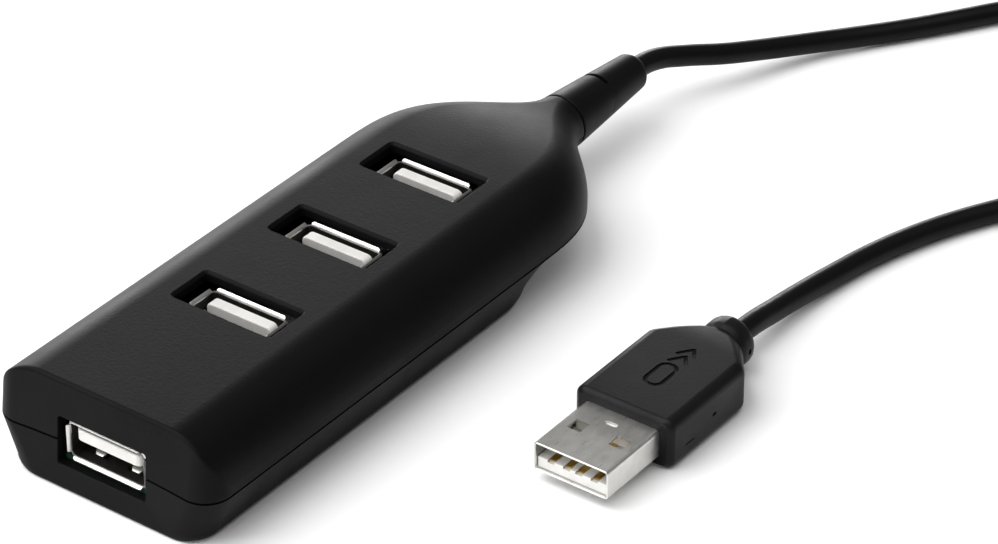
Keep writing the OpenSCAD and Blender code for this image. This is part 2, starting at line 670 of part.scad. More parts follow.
module plug_grip() color("#232325") at_plug() difference() {
  translate([plug_l, 0, 0]) {
    hull() {
      grip_slice(0, grip_w - 1.6, grip_t - 1.2, 1.2);
      grip_slice(0.9, grip_w, grip_t, 1.6);
    }
    translate([0.9, 0, 0]) rotate([90, 0, 90]) linear_extrude(grip_l - 10.9) plug_outline(grip_w, grip_t, 1.6);
    hull() {
      grip_slice(grip_l - 10.02, grip_w, grip_t, 1.6);
      grip_slice(grip_l - 8.6, grip_w - 1.2, grip_t, 1.8);
      grip_slice(grip_l - 4.6, 8.4, grip_t - 0.8, 2.6);
    }
    rotate([0, 90, 0]) rotate_extrude($fn = 40) polygon([
      [0, grip_l - 6], [collar_r - 0.7, grip_l - 6], [collar_r - 0.5, grip_l - 4.4], [collar_r, grip_l - 3.2],
      [collar_r, grip_l - 1.6], [collar_r - 0.8, grip_l - 0.4], [cord_d / 2 + 0.4, grip_l], [0, grip_l]
    ]);
  }
  translate([-1, 0, 0]) rotate([90, 0, 90]) linear_extrude(plug_l + plug_buried + 1) plug_outline(plug_w, plug_t, 0.5);
  plug_mark();
}

// A plain decorative mark pressed into the grip: an oblong ring and two chevrons.
module plug_mark() translate([plug_l + 9, 0, grip_t / 2 - 0.25]) linear_extrude(1) {
  difference() {
    plug_outline(6, 3.2, 1.55);
    plug_outline(4.8, 2, 0.95);
  }
  for (x = [5.4, 7.4], side = [-1, 1]) translate([x, 0]) rotate(side * 145) square([2.4, 0.6]);
}

top_shell();
bottom_shell();
circuit_board();
front_port_shell();
front_port_insulator();
front_port_contacts();
for (i = [0:2]) {
  port_shell(i);
  port_insulator(i);
  port_contacts(i);
}
hub_chip();
hub_chip_leads();
crystal();
bulk_capacitor();
ceramic_capacitors();
resistors();
wire_red();
wire_white();
wire_green();
wire_black();
strain_relief();
cable_to_coil();
cable_coil();
cable_to_plug();
cable_tie();
plug_grip();
plug_shell();
plug_insulator();
plug_contacts();
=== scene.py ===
"""A four-port USB hub on a captive lead: bottle-shaped case, four receptacles, strain relief, lead, tie and plug.

Sizes are in millimetres until a piece is committed, when its mesh is scaled to metres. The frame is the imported
model's: X runs along the case towards the lead, Z is up, and the case lies on z = 0.
"""

import json
import logging
import math
from dataclasses import dataclass, field
from enum import Enum

import bmesh
import bpy
from bmesh.types import BMesh, BMVert
from mathutils import Matrix, Vector


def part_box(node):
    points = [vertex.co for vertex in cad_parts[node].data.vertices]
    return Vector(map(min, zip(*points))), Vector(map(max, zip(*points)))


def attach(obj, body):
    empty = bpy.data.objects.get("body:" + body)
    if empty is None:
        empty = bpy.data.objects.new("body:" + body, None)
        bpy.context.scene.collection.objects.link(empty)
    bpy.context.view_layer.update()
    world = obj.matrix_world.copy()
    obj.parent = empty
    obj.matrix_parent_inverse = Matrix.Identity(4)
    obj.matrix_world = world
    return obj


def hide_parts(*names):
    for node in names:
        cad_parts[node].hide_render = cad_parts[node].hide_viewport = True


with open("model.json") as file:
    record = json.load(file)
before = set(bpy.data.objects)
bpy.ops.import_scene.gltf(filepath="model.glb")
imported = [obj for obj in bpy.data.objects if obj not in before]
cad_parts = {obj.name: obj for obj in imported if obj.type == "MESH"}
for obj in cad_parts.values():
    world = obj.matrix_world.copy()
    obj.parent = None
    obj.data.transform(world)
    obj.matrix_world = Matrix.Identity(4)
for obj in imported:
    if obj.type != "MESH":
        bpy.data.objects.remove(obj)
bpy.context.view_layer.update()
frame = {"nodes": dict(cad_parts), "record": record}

MM = 0.001
LOG = logging.getLogger("usb_hub")
Rgba = tuple[float, float, float, float]
Section = tuple[float, float, float, float]
ACROSS, UP = Vector((0, 1, 0)), Vector((0, 0, 1))
MERGE_MM = 0.0005  # after a cut, vertices closer than this are one
WORK_REACH = 1.0  # how far a cutting body reaches past what it cuts
FRONT_PORT_Z = 7.46  # the axis of the front receptacle, which lies on the board


class Slot(str, Enum):
    """The record's material slots."""

    CASE = "case"
    BOARD = "board"
    CHIP = "chip"
    TINNED_LEAD = "tinned_lead"
    CRYSTAL_CAN = "crystal_can"
    CAPACITOR_SLEEVE = "capacitor_sleeve"
    CERAMIC = "ceramic"
    RESISTOR = "resistor"
    WIRE_RED = "wire_red"
    WIRE_WHITE = "wire_white"
    WIRE_GREEN = "wire_green"
    WIRE_BLACK = "wire_black"
    RELIEF = "relief"
    JACKET = "jacket"
    TIE = "tie"
    GRIP = "grip"
    NICKEL = "nickel"
    INSULATOR = "insulator"
    CONTACT = "contact"


class Cut(str, Enum):
    """How one closed mesh is combined with another."""

    TAKE_AWAY = "DIFFERENCE"
    KEEP_INSIDE = "INTERSECT"
    ADD = "UNION"


# ---- finishes ----


def linear(hex_colour: str) -> Rgba:
    """Turns an sRGB hex colour to linear.

    Args:
        hex_colour: Six hex digits after a hash.

    Returns:
        Red, green and blue as linear values, and an alpha of 1.
    """
    parts = [int(hex_colour[i : i + 2], 16) / 255 for i in (1, 3, 5)]
    red, green, blue = (c / 12.92 if c <= 0.04045 else ((c + 0.055) / 1.055) ** 2.4 for c in parts)
    return red, green, blue, 1.0


def add_node(tree: bpy.types.NodeTree, kind: str, inputs: dict | None = None, **settings: object) -> bpy.types.Node:
    """Adds a node with its settings, and sets or links its inputs.

    Args:
        tree: The material's node tree.
        kind: The node's type name.
        inputs: Socket names or numbers, each with a value or with the output to link from.
        settings: The node's own properties.

    Returns:
        The new node.
    """
    made = tree.nodes.new(kind)
    for name, value in settings.items():
        setattr(made, name, value)
    for socket, value in (inputs or {}).items():
        if isinstance(value, bpy.types.NodeSocket):
            tree.links.new(value, made.inputs[socket])
        else:
            made.inputs[socket].default_value = value
    return made


def per_metre(size_mm: float) -> float:
    """The scale of a pattern whose features are size_mm across, on Object coordinates in metres."""
    return 1.0 / (size_mm * MM)


@dataclass(frozen=True)
class Finish:
    """A surface finish, made into one material."""

    name: str
    colour: str
    roughness: float

    def material(self) -> bpy.types.Material:
        """Makes the material, or finds it where another piece has had it made.

        Returns:
            The material.
        """
        found = bpy.data.materials.get(self.name)
        if found is not None:
            return found
        made = bpy.data.materials.new(self.name)
        made.use_nodes = True
        tree = made.node_tree
        tree.nodes.clear()
        shader = add_node(tree, "ShaderNodeBsdfPrincipled")
        add_node(tree, "ShaderNodeOutputMaterial", {"Surface": shader.outputs["BSDF"]})
        place = add_node(tree, "ShaderNodeTexCoord").outputs["Object"]
        shader.inputs["Base Color"].default_value = linear(self.colour)
        shader.inputs["Roughness"].default_value = self.roughness
        self.shade(tree, shader, place)
        return made

    def shade(self, tree: bpy.types.NodeTree, shader: bpy.types.Node, place: bpy.types.NodeSocket) -> None:
        """Adds the pattern of the finish. Each kind of finish has its own."""
        raise NotImplementedError


def noise(tree: bpy.types.NodeTree, place: bpy.types.NodeSocket, size_mm: float, detail: float) -> bpy.types.NodeSocket:
    """The output of a noise whose features are size_mm across."""
    inputs = {"Vector": place, "Scale": per_metre(size_mm), "Detail": detail, "Roughness": 0.55}
    return add_node(tree, "ShaderNodeTexNoise", inputs).outputs["Fac"]


def spread(tree: bpy.types.NodeTree, value: bpy.types.NodeSocket, low: float, high: float) -> bpy.types.NodeSocket:
    """The middle range of a noise, 0.3 to 0.7, carried over to low to high."""
    inputs = {"Value": value, "From Min": 0.3, "From Max": 0.7, "To Min": low, "To Max": high}
    return add_node(tree, "ShaderNodeMapRange", inputs).outputs["Result"]


def blend_colours(
    tree: bpy.types.NodeTree, share: bpy.types.NodeSocket, first: object, second: object
) -> bpy.types.NodeSocket:
    """The colour output of a mix of two colours or colour outputs by share."""
    made = add_node(tree, "ShaderNodeMix", {0: share, 6: first, 7: second}, data_type="RGBA")
    return made.outputs[2]


@dataclass(frozen=True)
class MouldedPlastic(Finish):
    """Injection-moulded or extruded plastic: a fine grain from the tool, and colour and gloss that drift a little."""

    drift_colour: str
    grain_mm: float
    grain_depth_mm: float
    gloss_drift: float = 0.05
    drift_mm: float = 9.0
    ior: float = 1.53
    shine: float = 0.5

    def shade(self, tree: bpy.types.NodeTree, shader: bpy.types.Node, place: bpy.types.NodeSocket) -> None:
        """Colour and roughness follow a broad noise, and the bump a fine one.

        Args:
            tree: The material's node tree.
            shader: Its Principled shader.
            place: Its Object coordinates.
        """
        broad = noise(tree, place, self.drift_mm, 4.0)
        fine = noise(tree, place, self.grain_mm, 2.0)
        colour = blend_colours(tree, spread(tree, broad, 0.0, 1.0), linear(self.colour), linear(self.drift_colour))
        tree.links.new(colour, shader.inputs["Base Color"])
        low, high = self.roughness - self.gloss_drift, self.roughness + self.gloss_drift
        tree.links.new(spread(tree, broad, high, low), shader.inputs["Roughness"])
        shader.inputs["IOR"].default_value = self.ior
        shader.inputs["Specular IOR Level"].default_value = self.shine
        inputs = {"Height": fine, "Strength": 0.7, "Distance": self.grain_depth_mm * MM}
        tree.links.new(add_node(tree, "ShaderNodeBump", inputs).outputs["Normal"], shader.inputs["Normal"])


@dataclass(frozen=True)
class PlatedMetal(Finish):
    """Rolled sheet or drawn can under a bright plating: fine lines the way it was rolled, and a slight tarnish."""

    tarnish_colour: str
    line_mm: float
    line_depth_mm: float
    line_stretch: tuple[float, float, float] = (0.06, 1.0, 1.0)
    tarnish_mm: float = 3.0

    def shade(self, tree: bpy.types.NodeTree, shader: bpy.types.Node, place: bpy.types.NodeSocket) -> None:
        """Roughness and bump follow a stretched noise, and the colour a broad one.

        Args:
            tree: The material's node tree.
            shader: Its Principled shader.
            place: Its Object coordinates.
        """
        stretched = add_node(tree, "ShaderNodeMapping", {"Vector": place, "Scale": self.line_stretch})
        lines = noise(tree, stretched.outputs["Vector"], self.line_mm, 3.0)
        broad = noise(tree, place, self.tarnish_mm, 3.0)
        colour = blend_colours(tree, spread(tree, broad, 0.0, 1.0), linear(self.colour), linear(self.tarnish_colour))
        tree.links.new(colour, shader.inputs["Base Color"])
        tree.links.new(spread(tree, lines, self.roughness - 0.06, self.roughness + 0.08), shader.inputs["Roughness"])
        shader.inputs["Metallic"].default_value = 1.0
        inputs = {"Height": lines, "Strength": 0.25, "Distance": self.line_depth_mm * MM}
        tree.links.new(add_node(tree, "ShaderNodeBump", inputs).outputs["Normal"], shader.inputs["Normal"])


@dataclass(frozen=True)
class SolderMask(Finish):
    """Epoxy solder mask over etched copper: a darker green ground, lighter tracks, and tinned pads at the holes."""

    track_colour: str
    track_pitch_mm: float

    def shade(self, tree: bpy.types.NodeTree, shader: bpy.types.Node, place: bpy.types.NodeSocket) -> None:
        """The tracks are the narrow bands of a right-angled brick pattern, a little raised.

        Args:
            tree: The material's node tree.
            shader: Its Principled shader.
            place: Its Object coordinates.
        """
        inputs = {
            "Vector": place,
            "Color1": (0.0, 0.0, 0.0, 1.0),
            "Color2": (0.0, 0.0, 0.0, 1.0),
            "Mortar": (1.0, 1.0, 1.0, 1.0),
            "Scale": per_metre(self.track_pitch_mm),
            "Mortar Size": 0.06,
            "Brick Width": 3.1,
            "Row Height": 0.7,
        }
        tracks = add_node(tree, "ShaderNodeTexBrick", inputs).outputs["Fac"]
        colour = blend_colours(tree, tracks, linear(self.colour), linear(self.track_colour))
        tree.links.new(colour, shader.inputs["Base Color"])
        shader.inputs["Coat Weight"].default_value = 0.4
        inputs = {"Height": tracks, "Strength": 0.4, "Distance": 0.03 * MM}
        tree.links.new(add_node(tree, "ShaderNodeBump", inputs).outputs["Normal"], shader.inputs["Normal"])


@dataclass(frozen=True)
class ShrinkSleeve(Finish):
    """A capacitor's shrunk sleeve with a pale stripe down one side, and its bare aluminium top."""

    stripe_colour: str
    top_colour: str
    top_z_mm: float

    def shade(self, tree: bpy.types.NodeTree, shader: bpy.types.Node, place: bpy.types.NodeSocket) -> None:
        """The stripe is on the +Y side, and the aluminium above top_z_mm.

        Args:
            tree: The material's node tree.
            shader: Its Principled shader.
            place: Its Object coordinates.
        """
        parts = add_node(tree, "ShaderNodeSeparateXYZ", {"Vector": place})
        stripe = add_node(tree, "ShaderNodeMath", {0: parts.outputs["Y"], 1: 2.0 * MM}, operation="GREATER_THAN")
        top = add_node(tree, "ShaderNodeMath", {0: parts.outputs["Z"], 1: self.top_z_mm * MM}, operation="GREATER_THAN")
        body = blend_colours(tree, stripe.outputs[0], linear(self.colour), linear(self.stripe_colour))
        colour = blend_colours(tree, top.outputs[0], body, linear(self.top_colour))
        tree.links.new(colour, shader.inputs["Base Color"])
        tree.links.new(top.outputs[0], shader.inputs["Metallic"])
        wrinkles = noise(tree, place, 0.8, 2.0)
        inputs = {"Height": wrinkles, "Strength": 0.3, "Distance": 0.05 * MM}
        tree.links.new(add_node(tree, "ShaderNodeBump", inputs).outputs["Normal"], shader.inputs["Normal"])


# The black plastics are given less shine than smooth ones, since the pits of their grain hide a part of it.
# Matt black ABS from a spark-eroded tool. The real grain is about 0.15 mm, too fine to show, so it is drawn at 0.4 mm.
CASE_ABS = MouldedPlastic(
    "matt_black_abs",
    colour="#09090a",
    drift_colour="#0d0d0e",
    drift_mm=12.0,
    roughness=0.45,
    grain_mm=0.4,
    grain_depth_mm=0.035,
    ior=1.53,
    shine=0.06,
)
# Satin PVC, moulded over the neck's end: softer and a little glossier than the case.
RELIEF_PVC = MouldedPlastic(
    "satin_black_pvc_relief",
    colour="#09090a",
    drift_colour="#0e0e0f",
    drift_mm=5.0,
    roughness=0.42,
    grain_mm=0.5,
    grain_depth_mm=0.02,
    ior=1.54,
    shine=0.08,
)
# Extruded PVC jacket: smooth, with faint waves from the extruder.
JACKET_PVC = MouldedPlastic(
    "satin_black_pvc_jacket",
    colour="#08080a",
    drift_colour="#0d0d0e",
    drift_mm=6.0,
    roughness=0.38,
    gloss_drift=0.06,
    grain_mm=0.7,
    grain_depth_mm=0.02,
    ior=1.54,
    shine=0.1,
)
# Moulded PVC of the plug's grip, from a finely blasted tool: it scatters light more than the case does.
GRIP_PVC = MouldedPlastic(
    "blasted_black_pvc_grip",
    colour="#0a0a0b",
    drift_colour="#131315",
    drift_mm=6.0,
    roughness=0.42,
    grain_mm=0.35,
    grain_depth_mm=0.03,
    ior=1.54,
    shine=0.12,
)
# Moulded nylon of the tie: smooth and slightly waxy.
TIE_NYLON = MouldedPlastic(
    "black_nylon",
    colour="#151516",
    drift_colour="#1b1b1c",
    drift_mm=4.0,
    roughness=0.4,
    gloss_drift=0.04,
    grain_mm=0.5,
    grain_depth_mm=0.01,
    ior=1.53,
)
# Glass-filled PBT: a dull off-white with a slight cloudiness from the flow of the melt.
INSULATOR_PBT = MouldedPlastic(
    "off_white_pbt",
    colour="#d8d7d4",
    drift_colour="#cecdc9",
    drift_mm=2.5,
    roughness=0.5,
    gloss_drift=0.06,
    grain_mm=0.3,
    grain_depth_mm=0.012,
    ior=1.55,
)
# Moulded epoxy of the chip: dull, with the grain of its silica filler.
CHIP_EPOXY = MouldedPlastic(
    "moulded_epoxy",
    colour="#1c1c1e",
    drift_colour="#232325",
    drift_mm=2.0,
    roughness=0.6,
    grain_mm=0.2,
    grain_depth_mm=0.02,
    ior=1.55,
)
# Fired ceramic of the small capacitors: tan, with a glassy skin.
CAPACITOR_CERAMIC = MouldedPlastic(
    "fired_tan_ceramic",
    colour="#a48a60",
    drift_colour="#957a50",
    drift_mm=0.8,
    roughness=0.45,
    gloss_drift=0.06,
    grain_mm=0.2,
    grain_depth_mm=0.01,
    ior=1.6,
)
# Glazed film resistors: black glass over a pale ceramic, so the sharpest gloss on the board.
RESISTOR_GLAZE = MouldedPlastic(
    "black_resistor_glaze",
    colour="#202024",
    drift_colour="#2a2a2f",
    drift_mm=0.8,
    roughness=0.25,
    grain_mm=0.3,
    grain_depth_mm=0.01,
    ior=1.52,
)
# Heavy white paper under the hub: matt, and nearly even in tone.
FLOOR_PAPER = MouldedPlastic(
    "pale_paper",
    colour="#f4f4f4",
    drift_colour="#f1f1f1",
    drift_mm=40.0,
    roughness=0.8,
    gloss_drift=0.03,
    grain_mm=2.0,
    grain_depth_mm=0.01,
    ior=1.4,
)
# Bright nickel on rolled steel: a soft shine with fine lines along the strip, and a faint grey tarnish.
NICKEL_STEEL = PlatedMetal(
    "bright_nickel_on_steel",
    colour="#dddcd8",
    tarnish_colour="#cfceca",
    roughness=0.33,
    line_mm=0.12,
    line_depth_mm=0.002,
)
# The inside of a receptacle's shell: the same nickel, painted a darker grey and made duller, as painted shade for the
# shade deep in the tube.
NICKEL_PAINTED_SHADE = PlatedMetal(
    "nickel_with_painted_shade_inside",
    colour="#4b4a48",
    tarnish_colour="#3f3e3c",
    roughness=0.5,
    line_mm=0.3,
    line_depth_mm=0.003,
)
# Gold flash over nickel on the contacts: warm, and smoother than the shells.
GOLD_FLASH = PlatedMetal(
    "gold_flash",
    colour="#dcb968",
    tarnish_colour="#cba45a",
    roughness=0.16,
    line_mm=0.12,
    line_depth_mm=0.002,
)
# Tinned copper leads: a softer grey than nickel.
TINNED_COPPER = PlatedMetal(
    "tinned_copper",
    colour="#cfcfcd",
    tarnish_colour="#bdbdba",
    roughness=0.35,
    line_mm=0.15,
    line_depth_mm=0.004,
)
# The crystal's can, drawn from nickel silver: lines all ways from the drawing.
DRAWN_CAN = PlatedMetal(
    "drawn_nickel_silver",
    colour="#c9c8c2",
    tarnish_colour="#b9b7b0",
    roughness=0.28,
    line_mm=0.2,
    line_depth_mm=0.006,
    line_stretch=(0.3, 0.3, 1.0),
)
# Green solder mask over etched copper: a wet-looking dark green, with paler raised lines where the tracks run.
BOARD_MASK = SolderMask(
    "green_solder_mask", colour="#0d2c1c", track_colour="#164226", roughness=0.4, track_pitch_mm=1.27
)
# The capacitor's sleeve, shrunk on with heat: dark blue, satin and faintly wrinkled, under a bare metal top.
SLEEVE = ShrinkSleeve(
    "blue_shrink_sleeve",
    colour="#22344f",
    stripe_colour="#c8ccd2",
    top_colour="#c9cacb",
    roughness=0.35,
    top_z_mm=9.9,
)


def wire_pvc(name: str, colour: str, drift: str) -> MouldedPlastic:
    """Thin extruded PVC of one wire's colour: smooth and fairly glossy."""
    return MouldedPlastic(
        name,
        colour=colour,
        drift_colour=drift,
        drift_mm=3.0,
        roughness=0.32,
        gloss_drift=0.04,
        grain_mm=0.5,
        grain_depth_mm=0.01,
        ior=1.54,
    )


FINISHES: dict[Slot, Finish] = {
    Slot.CASE: CASE_ABS,
    Slot.BOARD: BOARD_MASK,
    Slot.CHIP: CHIP_EPOXY,
    Slot.TINNED_LEAD: TINNED_COPPER,
    Slot.CRYSTAL_CAN: DRAWN_CAN,
    Slot.CAPACITOR_SLEEVE: SLEEVE,
    Slot.CERAMIC: CAPACITOR_CERAMIC,
    Slot.RESISTOR: RESISTOR_GLAZE,
    Slot.WIRE_RED: wire_pvc("red_wire_pvc", "#b3241c", "#a11e17"),
    Slot.WIRE_WHITE: wire_pvc("white_wire_pvc", "#e4e3de", "#d6d5cf"),
    Slot.WIRE_GREEN: wire_pvc("green_wire_pvc", "#2c7a38", "#256b30"),
    Slot.WIRE_BLACK: wire_pvc("black_wire_pvc", "#1a1a1a", "#202020"),
    Slot.RELIEF: RELIEF_PVC,
    Slot.JACKET: JACKET_PVC,
    Slot.TIE: TIE_NYLON,
    Slot.GRIP: GRIP_PVC,
    Slot.NICKEL: NICKEL_STEEL,
    Slot.INSULATOR: INSULATOR_PBT,
    Slot.CONTACT: GOLD_FLASH,
}


# ---- mesh tools ----


def box_mm(node: str) -> tuple[Vector, Vector]:
    """The lowest and highest corner of a CAD node, in millimetres."""
    low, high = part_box(node)
    return low / MM, high / MM


def loop_edges(bm: BMesh, verts: list[BMVert]) -> list[bmesh.types.BMEdge]:
    """The edges of a closed loop of neighbouring vertices, in order."""
    return [bm.edges.get((v, verts[(i + 1) % len(verts)])) for i, v in enumerate(verts)]


def loft(bm: BMesh, rings: list[list[Vector]]) -> None:
    """Adds a closed body: a ring is extruded from station to station, and its two ends are closed.

    Args:
        bm: The mesh to add to.
        rings: Closed rings of points, all of one count.
    """
    before = set(bm.faces)
    circle = bmesh.ops.create_circle(bm, segments=len(rings[0]), radius=1.0)["verts"]
    verts = sorted(circle, key=lambda v: math.atan2(v.co.y, v.co.x))
    first = verts
    for vert, point in zip(verts, rings[0]):
        vert.co = point
    for ring in rings[1:]:
        made = bmesh.ops.extrude_edge_only(bm, edges=loop_edges(bm, verts))
        fresh = {g for g in made["geom"] if isinstance(g, BMVert)}
        verts = [next(e.other_vert(v) for e in v.link_edges if e.other_vert(v) in fresh) for v in verts]
        for vert, point in zip(verts, ring):
            vert.co = point
    for end in (first, verts):
        bmesh.ops.contextual_create(bm, geom=loop_edges(bm, end))
    bmesh.ops.recalc_face_normals(bm, faces=[f for f in bm.faces if f not in before])


def rounded(width: float, depth: float, radius: float, steps: int = 4) -> list[Vector]:
    """A rounded rectangle about the origin, as a ring of points in the XY plane.

    Args:
        width: Its size along X.
        depth: Its size along Y.
        radius: The radius of its corners.
        steps: The segments of each corner.

    Returns:
        The ring's points, anticlockwise.
    """
    x, y = width / 2 - radius, depth / 2 - radius
    ring = []
    for quarter, (cx, cy) in enumerate(((x, y), (-x, y), (-x, -y), (x, -y))):
        for step in range(steps + 1):
            a = math.radians(90 * (quarter + step / steps))
            ring.append(Vector((cx + radius * math.cos(a), cy + radius * math.sin(a), 0.0)))
    return ring


def placed(ring: list[Vector], matrix: Matrix) -> list[Vector]:
    """The ring's points moved by a matrix."""
    return [matrix @ p for p in ring]


def axes(origin: Vector, across: Vector, up: Vector) -> Matrix:
    """A frame at origin whose X is across and whose Y is up, so that its Z is their cross product.

    Args:
        origin: Where it stands.
        across: The direction of its X.
        up: The direction of its Y, square to across.

    Returns:
        The frame.
    """
    x, y = across.normalized(), up.normalized()
    z = x.cross(y)
    made = Matrix((x, y, z)).transposed().to_4x4()
    made.translation = origin
    return made


def bent(points: list[Vector], place: Matrix | None = None) -> list[tuple[Vector, Vector]]:
    """The line of a strip that bends about Y.

    Args:
        points: Points along the strip's middle, before they are placed.
        place: Where the strip goes, if it is moved.

    Returns:
        The placed points, each with the direction out of the strip's face.
    """
    place = place or Matrix.Identity(4)
    line = []
    for i, point in enumerate(points):
        way = points[min(i + 1, len(points) - 1)] - points[max(i - 1, 0)]
        line.append((place @ point, place.to_3x3() @ way.cross(ACROSS).normalized()))
    return line


def strip(bm: BMesh, line: list[tuple[Vector, Vector]], side: Vector, widths: list[float], sheet: float) -> None:
    """Adds a bent strip of sheet.

    Args:
        bm: The mesh to add to.
        line: Points along its middle, each with the direction out of its face.
        side: The direction of its width.
        widths: Its width at each point.
        sheet: Its thickness.
    """
    edge_r = sheet * 0.3
    rings = []
    for (point, out), width in zip(line, widths):
        rings.append(placed(rounded(width, sheet, min(edge_r, width / 2.2), 2), axes(point, side, out)))
    loft(bm, rings)


def bevel(bm: BMesh, edges: list[bmesh.types.BMEdge], soften: float, segments: int = 2) -> None:
    """Rounds edges to the radius soften."""
    bmesh.ops.bevel(
        bm,
        geom=edges,
        offset=soften,
        segments=segments,
        profile=0.5,
        affect="EDGES",
        material=-1,
        clamp_overlap=True,
    )


def slab(bm: BMesh, low: Vector, high: Vector, soften: float = 0.0, segments: int = 2) -> None:
    """Adds a box.

    Args:
        bm: The mesh to add to.
        low: Its lowest corner.
        high: Its highest corner.
        soften: The radius of its edges, or 0 for sharp ones.
        segments: The segments of each rounded edge.
    """
    size, middle = high - low, (low + high) / 2
    place = Matrix.Translation(middle) @ Matrix.Diagonal((*size, 1.0))
    verts = bmesh.ops.create_cube(bm, size=1.0, matrix=place)["verts"]
    edges = list(dict.fromkeys(e for v in verts for e in v.link_edges))
    if soften > 0:
        bevel(bm, edges, soften, segments)


def put_in_order(bm: BMesh) -> None:
    """Orders a mesh's edges and faces by their vertices, since extruding leaves them in another order each run.

    Args:
        bm: The mesh.
    """
    bm.verts.index_update()
    for elements in (bm.edges, bm.faces):
        ranked = sorted(elements, key=lambda e: sorted(v.index for v in e.verts))
        ranks = {element: rank for rank, element in enumerate(ranked)}
        elements.sort(key=lambda e: ranks[e])
        elements.index_update()


def to_mesh(bm: BMesh, name: str) -> bpy.types.Mesh:
    """Turns a bmesh into a mesh and frees it.

    Args:
        bm: The bmesh.
        name: The mesh's name.

    Returns:
        The mesh.
    """
    put_in_order(bm)
    bm.normal_update()
    made = bpy.data.meshes.new(name)
    bm.to_mesh(made)
    bm.free()
    return made


def add_body(bm: BMesh, extra: BMesh) -> None:
    """Adds a body to a mesh as it is, and frees it."""
    made = to_mesh(extra, "work_extra")
    bm.from_mesh(made)
    bpy.data.meshes.remove(made)


def combine(base: BMesh, tool: BMesh, how: Cut) -> BMesh:
    """Combines two closed bodies with an exact boolean.

    Args:
        base: The body that is changed. It is freed.
        tool: The body that it is combined with. It is freed.
        how: Whether the tool is taken away, added, or what is inside it kept.

    Returns:
        The combined body.
    """
    objects = [bpy.data.objects.new(n, to_mesh(b, n)) for n, b in (("work_base", base), ("work_tool", tool))]
    for made in objects:
        bpy.context.scene.collection.objects.link(made)
    modifier = objects[0].modifiers.new("cut", "BOOLEAN")
    modifier.operation = how.value
    modifier.solver = "EXACT"
    modifier.object = objects[1]
    bpy.context.view_layer.update()
    shown = objects[0].evaluated_get(bpy.context.evaluated_depsgraph_get())
    result = bmesh.new()
    result.from_mesh(shown.to_mesh())
    shown.to_mesh_clear()
    for made in objects:
        mesh = made.data
        bpy.data.objects.remove(made)
        bpy.data.meshes.remove(mesh)
    bmesh.ops.remove_doubles(result, verts=result.verts, dist=MERGE_MM)
    return result


def commit(
    bm: BMesh, name: str, slot: Slot, stands_for: list[str], sharp: float = 32.0, second: Finish | None = None
) -> bpy.types.Object:
    """Finishes a piece: scales it to metres, shades it, dresses it and ties it to the frame.

    Args:
        bm: The piece's mesh, in millimetres. It is freed.
        name: The piece's name.
        slot: The record's material slot.
        stands_for: The CAD nodes that it replaces.
        sharp: Edges that turn more than this many degrees stay sharp.
        second: The finish of the faces whose material index is 1, if there are any.

    Returns:
        The finished object.
    """
    bmesh.ops.scale(bm, vec=Vector((MM, MM, MM)), verts=bm.verts)
    mesh = to_mesh(bm, name)
    mesh.shade_smooth()
    mesh.set_sharp_from_angle(angle=math.radians(sharp))
    made = bpy.data.objects.new(name, mesh)
    bpy.context.scene.collection.objects.link(made)
    weighted = made.modifiers.new("even shading", "WEIGHTED_NORMAL")
    weighted.keep_sharp = True
    mesh.materials.append(FINISHES[slot].material())
    if second is not None:
        mesh.materials.append(second.material())
    tie_in(made, stands_for)
    return made


def tie_in(made: bpy.types.Object, stands_for: list[str]) -> None:
    """Makes an object ride on the part and hides the CAD nodes that it stands for.

    Args:
        made: The object.
        stands_for: The CAD nodes that it replaces.
    """
    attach(made, "root")
    if stands_for:
        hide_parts(*stands_for)
    count = len(made.data.polygons) if made.type == "MESH" else 0
    LOG.info("piece %s: %d faces, stands for %s", made.name, count, ", ".join(stands_for) or "nothing")


# ---- the case ----


def rounding(radius: float, reach: float) -> float:
    """How far a quarter round has drawn an outline in, at distance reach from the face that it meets."""
    return radius - math.sqrt(radius * radius - (radius - reach) ** 2) if reach < radius else 0.0


